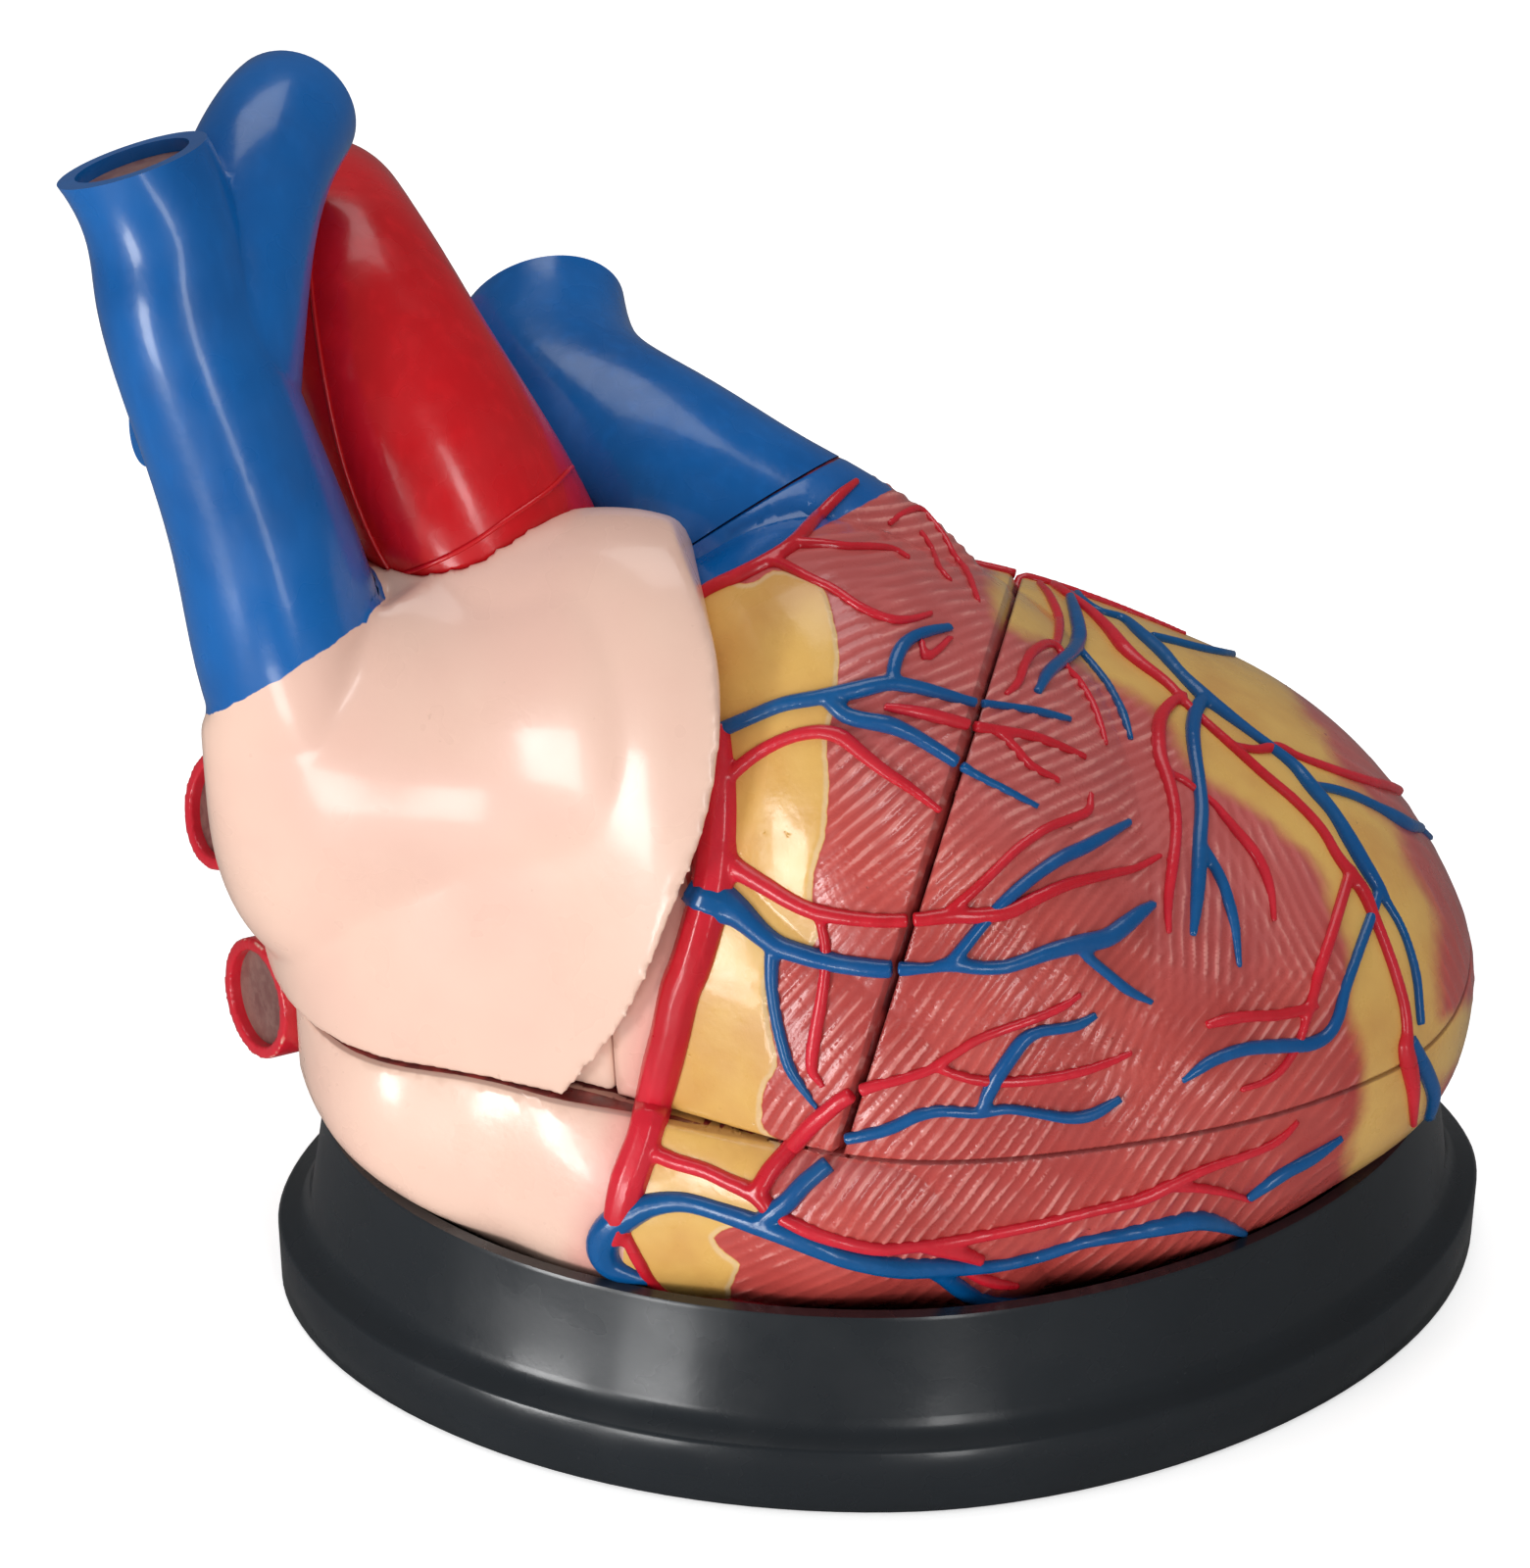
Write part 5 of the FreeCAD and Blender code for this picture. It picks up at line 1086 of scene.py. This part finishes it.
def build_wall(context, node, everything, skin):
    """One piece of the ventricle wall with its relief and its paint zones."""
    sizes = context.scene.heart_sizes
    piece = merged_copy(node + "_painted", node)
    mesh = piece.data
    refine_skin(mesh, everything, sizes.wall_grain * (1.0))
    if node == "outflow_shell":
        raise_tongue(mesh, LID_POINT, LID_NORMAL, LID_INSET_MM, lambda across: LID_TONGUE_MM)
        raise_tongue(mesh, TRUNK_POINT, TRUNK_NORMAL, ROOT_INSET_MM, root_tongue)
    mark_depth(mesh, skin)
    places, normals = points_of(mesh), normals_of(mesh)
    depth = read_out(mesh.attributes["depth"].data, "value")
    outside = np.clip(1.0 - depth / OUTSIDE_FADE_MM, 0.0, 1.0)
    field = zones(places, normals, node == "outflow_shell")
    fibre = fibre_relief(places, normals, sizes.fibre_pitch, context.scene.heart_stage.seed)
    painted = np.maximum.reduce([(field["groove"] + GROOVE_FADE_MM / 2) / GROOVE_FADE_MM]
                                + [field[name] + FIBRE_END_MM for name in ("fat", "atrial", "root")])
    fibre = fibre * np.clip(1.0 - painted, 0.0, 1.0) * outside
    fat = np.clip(field["fat"] / FAT_ROUND_MM, 0.0, 1.0) * (field["atrial"] < 0)
    seam = seam_distance(places)
    lift = fibre * sizes.fibre_height + fat * outside * sizes.fat_height
    lift *= np.clip(seam / SEAM_CLEAR_MM, 0.0, 1.0)
    lift -= np.exp(-(seam / SEAM_WIDTH_MM) ** 2) * outside * SEAM_GROOVE_MM * MM
    mesh.vertices.foreach_set("co", (places + normals * lift[:, None]).astype(np.float32).ravel())
    mesh.update()
    # How far the wall faces up, the share of its painted light from above.
    upper = np.clip((normals[:, 2] - UPPER_FROM) / UPPER_FADE, 0.0, 1.0)
    for name, values in {**field, "fibre": fibre, "seam": seam, "upper": upper}.items():
        keep_values(mesh, name, values)
    shade(mesh, WALL_SHARP)
    return piece


# ---- coronary vessels
def laid_runs(surface, view, route):
    """The route dropped on the wall, parted where it passes from one node to the next."""
    runs = []
    last = None
    for across, down, radius in flowing(route, ROUTE_STEP):
        found = surface.drop(view, across, down)
        if found is None:
            last = None
            continue
        point, normal, node = found
        if last is None or node != last[1] or (point - last[0]).length > ROUTE_LEAP_MM * MM:
            runs.append((node, []))
        runs[-1][1].append((point, normal, radius))
        last = (point, node)
    return [(node, carried_on(run)) for node, run in runs if len(run) > 4]


def carried_on(run):
    """The run with both ends drawn out a little, so that a vessel reaches the edge of its piece."""
    ends = []
    for tip, before in ((run[0], run[3]), (run[-1], run[-4])):
        way = (tip[0] - before[0]).normalized()
        ends.append((tip[0] + way * SEAM_REACH_MM * MM, tip[1], tip[2]))
    return [ends[0]] + run + [ends[1]]


def thinned(run):
    """The run without places that crowd each other."""
    kept = [run[0]]
    for item in run[1:-1]:
        if (item[0] - kept[-1][0]).length >= KNOT_GAP_MM * MM:
            kept.append(item)
    return kept + [run[-1]]


def tube_curve(name, runs):
    """A bevelled curve with one spline for each run, half sunk in the wall."""
    curve = bpy.data.curves.new(name, "CURVE")
    curve.dimensions = "3D"
    curve.bevel_depth = MM
    curve.bevel_resolution = 3
    curve.use_fill_caps = True
    for run in runs:
        run = thinned(run)
        spline = curve.splines.new("POLY")
        spline.points.add(len(run) - 1)
        for knot, (point, normal, radius) in zip(spline.points, run):
            rise = max(LEAST_RISE, FINE_RISE - RISE_LOSS * (radius - FINE_RADIUS)) * radius * MM
            knot.co = (*(point + normal * rise), 1.0)
            knot.radius = radius
    return curve


def tubes(name, runs, grain):
    """Tubes along the runs, melted together where they branch."""
    curve = tube_curve(name, runs)
    holder = new_object(name + "_line", curve)
    mesh = made_mesh(holder)
    bpy.data.objects.remove(holder)
    bpy.data.curves.remove(curve)
    piece = new_object(name, mesh)
    if grain:
        reskin(piece, grain, VESSEL_SOFTENING)
    piece.data.shade_smooth()
    return piece


def build_vessels(context, label, front, rear, material, slot):
    """All vessels of one colour, one piece for each body that carries them."""
    surface = Surface(*WALL_NODES)
    by_body = {}
    for view, route in [(FRONT, route) for route in front] + [(REAR, route) for route in rear]:
        for node, run in laid_runs(surface, view, route):
            by_body.setdefault(body_of(node), []).append(run)
    for body, runs in sorted(by_body.items()):
        piece = tubes(f"{label}_{body}", runs, context.scene.heart_sizes.vessel_grain)
        wear(piece, body, slot, material)


# ---- operators
class HEART_OT_walls(bpy.types.Operator):
    """Painted ventricle walls: lower half, lid and outflow piece"""
    bl_idname = "heart.walls"
    bl_label = "Ventricle walls"

    def execute(self, context):
        everything = Surface(*(name for name in HEART_NODES if name != "right_auricle"))
        skin = outer_skin(WALL_NODES, everything)
        material = wall_paint(context.scene.heart_colours)
        for node in ("lower_heart", "ventricle_lid", "outflow_shell"):
            wear(build_wall(context, node, everything, skin), body_of(node), "muscle_rose", material, node)
        return {"FINISHED"}


class HEART_OT_atria(bpy.types.Operator):
    """Atria, auricle and the foot of the superior vena cava in one flowing shell"""
    bl_idname = "heart.atria"
    bl_label = "Atria and superior vena cava"

    def execute(self, context):
        sizes = context.scene.heart_sizes
        overlap = sizes.vein_overlap / MM
        walls = ("atrium_shell", "right_auricle")
        nodes = walls + ("superior_vena_cava",)
        material = atrium_paint(context.scene.heart_colours)
        skin = outer_skin(nodes, Surface(*HEART_NODES))
        vein, rest = Surface("superior_vena_cava"), Surface(*walls)

        def paint_border(mesh):
            places = points_of(mesh)
            return np.clip(rest.distance_mm(places) - vein.distance_mm(places), -BORDER_MM, BORDER_MM)

        def keep_marks(mesh):
            keep_values(mesh, "cava", paint_border(mesh))
            mark_depth(mesh, skin)

        shell = reskin(merged_copy("atria_painted", *nodes), sizes.shell_grain, SHELL_SOFTENING)
        trim(shell.data, paint_border(shell.data) < overlap)
        keep_marks(shell.data)
        shell.data.shade_smooth()
        wear(shell, "atrium_vessels", "atrium_peach", material, *walls)
        cava = smooth_copy("superior_vena_cava_painted", "superior_vena_cava")
        trim(cava.data, paint_border(cava.data) > -CAVA_SHARE * overlap)
        keep_marks(cava.data)
        wear(cava, "atrium_vessels", "vein_blue", material, "superior_vena_cava")
        return {"FINISHED"}


class HEART_OT_great_vessels(bpy.types.Operator):
    """Aorta with its branches, pulmonary trunk and inferior vena cava"""
    bl_idname = "heart.great_vessels"
    bl_label = "Great vessels"

    def execute(self, context):
        colours = context.scene.heart_colours
        red = enamel("aorta_enamel", colours.artery, colours.artery_deep)
        blue = enamel("trunk_enamel", colours.vein, colours.vein_deep)
        for node, slot, material in (("aorta", "artery_red", red), ("arch_branches", "artery_red", red),
                                     ("pulmonary_trunk", "vein_blue", blue),
                                     ("inferior_vena_cava", "vein_blue", blue)):
            wear(smooth_copy(node + "_painted", node), body_of(node), slot, material, node)
        surface = Surface("aorta")
        seams = [run for route in AORTA_SEAMS for _, run in laid_runs(surface, FRONT, route)]
        wear(tubes("aorta_mould_seams", seams, 0.0), "atrium_vessels", "artery_red", red)
        return {"FINISHED"}


class HEART_OT_stubs(bpy.types.Operator):
    """Stubs of the pulmonary veins with red rims"""
    bl_idname = "heart.stubs"
    bl_label = "Vein stubs"

    def execute(self, context):
        material = stub_paint(context.scene.heart_colours)
        rim = context.scene.heart_sizes.stub_rim / MM
        for node, discs in (("upper_vein_stubs", "upper_lumen_discs"),
                            ("lower_vein_stubs", "lower_lumen_discs")):
            piece = reskin(merged_copy(node + "_painted", node), STUB_GRAIN_MM * MM, STUB_SOFTENING)
            near = Surface(discs).distance_mm(points_of(piece.data))
            keep_values(piece.data, "mouth", rim - near)
            wear(piece, body_of(node), "artery_red", material, node)
        return {"FINISHED"}


class HEART_OT_coronaries(bpy.types.Operator):
    """Coronary arteries and veins laid on the wall"""
    bl_idname = "heart.coronaries"
    bl_label = "Coronary vessels"

    def execute(self, context):
        colours = context.scene.heart_colours
        red = enamel("coronary_red_enamel", colours.coronary_red, colours.artery_deep, 0.3, 0.3, 0.0002)
        blue = enamel("coronary_blue_enamel", colours.coronary_blue, colours.vein_deep, 0.3, 0.3, 0.0002)
        build_vessels(context, "coronary_arteries", ARTERY_ROUTES, REAR_ARTERY_ROUTES, red, "artery_red")
        build_vessels(context, "coronary_veins", VEIN_ROUTES, REAR_VEIN_ROUTES, blue, "vein_blue")
        return {"FINISHED"}


class HEART_OT_inner_parts(bpy.types.Operator):
    """Valves, cords, papillary muscles, discs, domes, magnets and dowels"""
    bl_idname = "heart.inner_parts"
    bl_label = "Inner parts"

    def execute(self, context):
        colours = context.scene.heart_colours
        finishes = (
            (enamel("valve_cream_paint", colours.valve, scaled(colours.valve, 0.7), 0.42, 0.1, 0.0003),
             ("tricuspid_leaflets", "mitral_leaflets", "tricuspid_chordae", "mitral_chordae",
              "pulmonary_valve_cusps", "aortic_valve_cusps")),
            (enamel("papillary_paint", colours.muscle, colours.muscle_dark, 0.4, 0.15, 0.0006),
             ("tricuspid_papillary_muscles", "mitral_papillary_muscles", "moderator_band")),
            (enamel("locating_dome_paint", colours.peach, colours.peach_blush, 0.4, 0.1),
             ("locating_domes",)),
            (plating("magnet_plating", colours.nickel, (1.0, 1.0, 6.0)),
             ("lower_magnets", "lid_magnets", "outflow_magnets", "atrium_magnets")),
            (plating("dowel_steel_finish", scaled(colours.nickel, 0.85), (1.0, 1.0, 0.2)),
             ("outflow_dowels",)),
            (disc_paint(colours), ("upper_lumen_discs", "lower_lumen_discs")))
        for material, nodes in finishes:
            for node in nodes:
                coat(NODES[node].data, material)
        return {"FINISHED"}


class HEART_OT_stand(bpy.types.Operator):
    """Black oval stand with its foam saddles and rubber feet"""
    bl_idname = "heart.stand"
    bl_label = "Stand"

    def execute(self, context):
        colours = context.scene.heart_colours
        wear(smooth_copy("stand_moulding", "stand"), "stand", "stand_black", stand_plastic(colours), "stand")
        coat(NODES["cradle_pads"].data, foam_stuff(colours))
        coat(NODES["stand_feet"].data, rubber())
        return {"FINISHED"}


# ---- stage
LAMPS = (                  # name, setting, place and size in m; each lamp looks at the middle of the heart
    ("key_softbox", "key_power", (-0.68, -0.50, 0.14), (0.18, 0.24)),
    ("low_card", "card_power", (-0.235, -0.31, 0.05), (0.07, 0.07)),
    ("fill_softbox", "fill_power", (0.22, -1.55, 0.46), (0.2, 0.8)),
    ("top_softbox", "top_power", (-0.1, 0.3, 1.8), (1.2, 1.0)),
)
FLOOR_DROP = 0.0003        # the floor lies this far below the stand's underside
SENSOR_WIDTH = 36.0
MIRRORED_ROOM = 0.25       # share of the room's light that shows in reflections


def softbox(name, watts, place, size):
    lamp = bpy.data.lights.new(name, "AREA")
    lamp.energy = watts
    lamp.shape = "RECTANGLE"
    lamp.size, lamp.size_y = size
    holder = new_object(name, lamp)
    holder.location = place
    holder.rotation_euler = (EYE_TARGET - Vector(place)).to_track_quat("-Z", "Y").to_euler()
    holder.visible_camera = False


def room_light(strength, colour):
    """White room: full white to the eye, even light on the object, dimmer in its reflections."""
    world = bpy.data.worlds.new("white_room")
    bpy.context.scene.world = world
    world.use_nodes = True
    tree = world.node_tree
    background = tree.nodes["Background"]
    path = tree.nodes.new("ShaderNodeLightPath")
    seen = tree.nodes.new("ShaderNodeMath")
    seen.operation = "MAXIMUM"
    mirrored = tree.nodes.new("ShaderNodeMapRange")
    mirrored.inputs["To Min"].default_value = strength
    mirrored.inputs["To Max"].default_value = strength * MIRRORED_ROOM
    level = tree.nodes.new("ShaderNodeMapRange")
    level.inputs["To Max"].default_value = 1.0
    for source, target in ((path.outputs["Is Camera Ray"], seen.inputs[0]),
                           (path.outputs["Is Transmission Ray"], seen.inputs[1]),
                           (path.outputs["Is Glossy Ray"], mirrored.inputs["Value"]),
                           (mirrored.outputs["Result"], level.inputs["To Min"]),
                           (seen.outputs[0], level.inputs["Value"]),
                           (level.outputs["Result"], background.inputs["Strength"])):
        tree.links.new(source, target)
    background.inputs["Color"].default_value = (*colour, 1.0)


def floor_finish(colour):
    """Pale floor that goes to white for the eye and keeps the shadow."""
    paint = Paint("floor_paint", 0.9, specular=0.1)
    path = paint.add("ShaderNodeLightPath")
    tone = paint.clouds(colour, scaled(colour, 0.98), 3.0, low=0.3, high=0.7)
    tone = paint.mix(path.outputs["Is Glossy Ray"], tone, FLOOR_MIRRORED)
    paint.link(tone, paint.shader.inputs["Base Color"])
    paint.link(WHITE, paint.shader.inputs["Emission Color"])
    glow = paint.ramp(path.outputs["Is Camera Ray"], 0.0, 1.0, 0.0, 0.55)
    paint.link(glow, paint.shader.inputs["Emission Strength"])
    return paint.material


class HEART_OT_stage(bpy.types.Operator):
    """Floor, lamps and camera"""
    bl_idname = "heart.stage"
    bl_label = "Stage"

    def execute(self, context):
        settings = context.scene.heart_stage
        mesh = bpy.data.meshes.new("floor")
        with reworked(mesh) as work:
            bmesh.ops.create_grid(work, x_segments=8, y_segments=8, size=settings.floor_size)
        floor = new_object("floor", mesh)
        floor.location = (0.0, 0.0, -FLOOR_DROP)
        mesh.materials.append(floor_finish(context.scene.heart_colours.backdrop))
        for name, key, place, size in LAMPS:
            softbox(name, getattr(settings, key), place, size)
        room_light(settings.sky, WHITE)
        camera = bpy.data.cameras.new("camera")
        camera.sensor_fit = "HORIZONTAL"
        camera.sensor_width = SENSOR_WIDTH
        camera.lens = SENSOR_WIDTH * BOARD_FOCUS / BOARD_WIDTH
        camera.clip_end = 20.0
        holder = new_object("camera", camera)
        holder.location = FRONT[0]
        holder.rotation_euler = FRONT[3].to_track_quat("-Z", "Y").to_euler()
        context.scene.camera = holder
        context.scene.view_settings.view_transform = "Standard"
        return {"FINISHED"}


class HEART_PT_panel(bpy.types.Panel):
    """Lists the steps and settings of the heart model"""
    bl_idname = "HEART_PT_panel"
    bl_label = "Heart model"
    bl_space_type = "VIEW_3D"
    bl_region_type = "UI"
    bl_category = "Heart"

    def draw(self, context):
        for step in STEPS:
            self.layout.operator(step.bl_idname)
        for group in (context.scene.heart_sizes, context.scene.heart_colours, context.scene.heart_stage):
            box = self.layout.box()
            for key in group.bl_rna.properties.keys():
                if key not in ("rna_type", "name"):
                    box.prop(group, key)


GROUPS = (HeartColours, HeartSizes, StageSettings)
STEPS = (HEART_OT_stage, HEART_OT_stand, HEART_OT_walls, HEART_OT_atria, HEART_OT_great_vessels,
         HEART_OT_stubs, HEART_OT_coronaries, HEART_OT_inner_parts)


def register():
    for item in GROUPS + STEPS + (HEART_PT_panel,):
        bpy.utils.register_class(item)
    bpy.types.Scene.heart_colours = PointerProperty(type=HeartColours)
    bpy.types.Scene.heart_sizes = PointerProperty(type=HeartSizes)
    bpy.types.Scene.heart_stage = PointerProperty(type=StageSettings)


def unregister():
    del bpy.types.Scene.heart_stage
    del bpy.types.Scene.heart_sizes
    del bpy.types.Scene.heart_colours
    for item in reversed(GROUPS + STEPS + (HEART_PT_panel,)):
        bpy.utils.unregister_class(item)


def main():
    register()
    for step in STEPS:
        group, name = step.bl_idname.split(".")
        getattr(getattr(bpy.ops, group), name)()


if __name__ == "__main__":
    main()
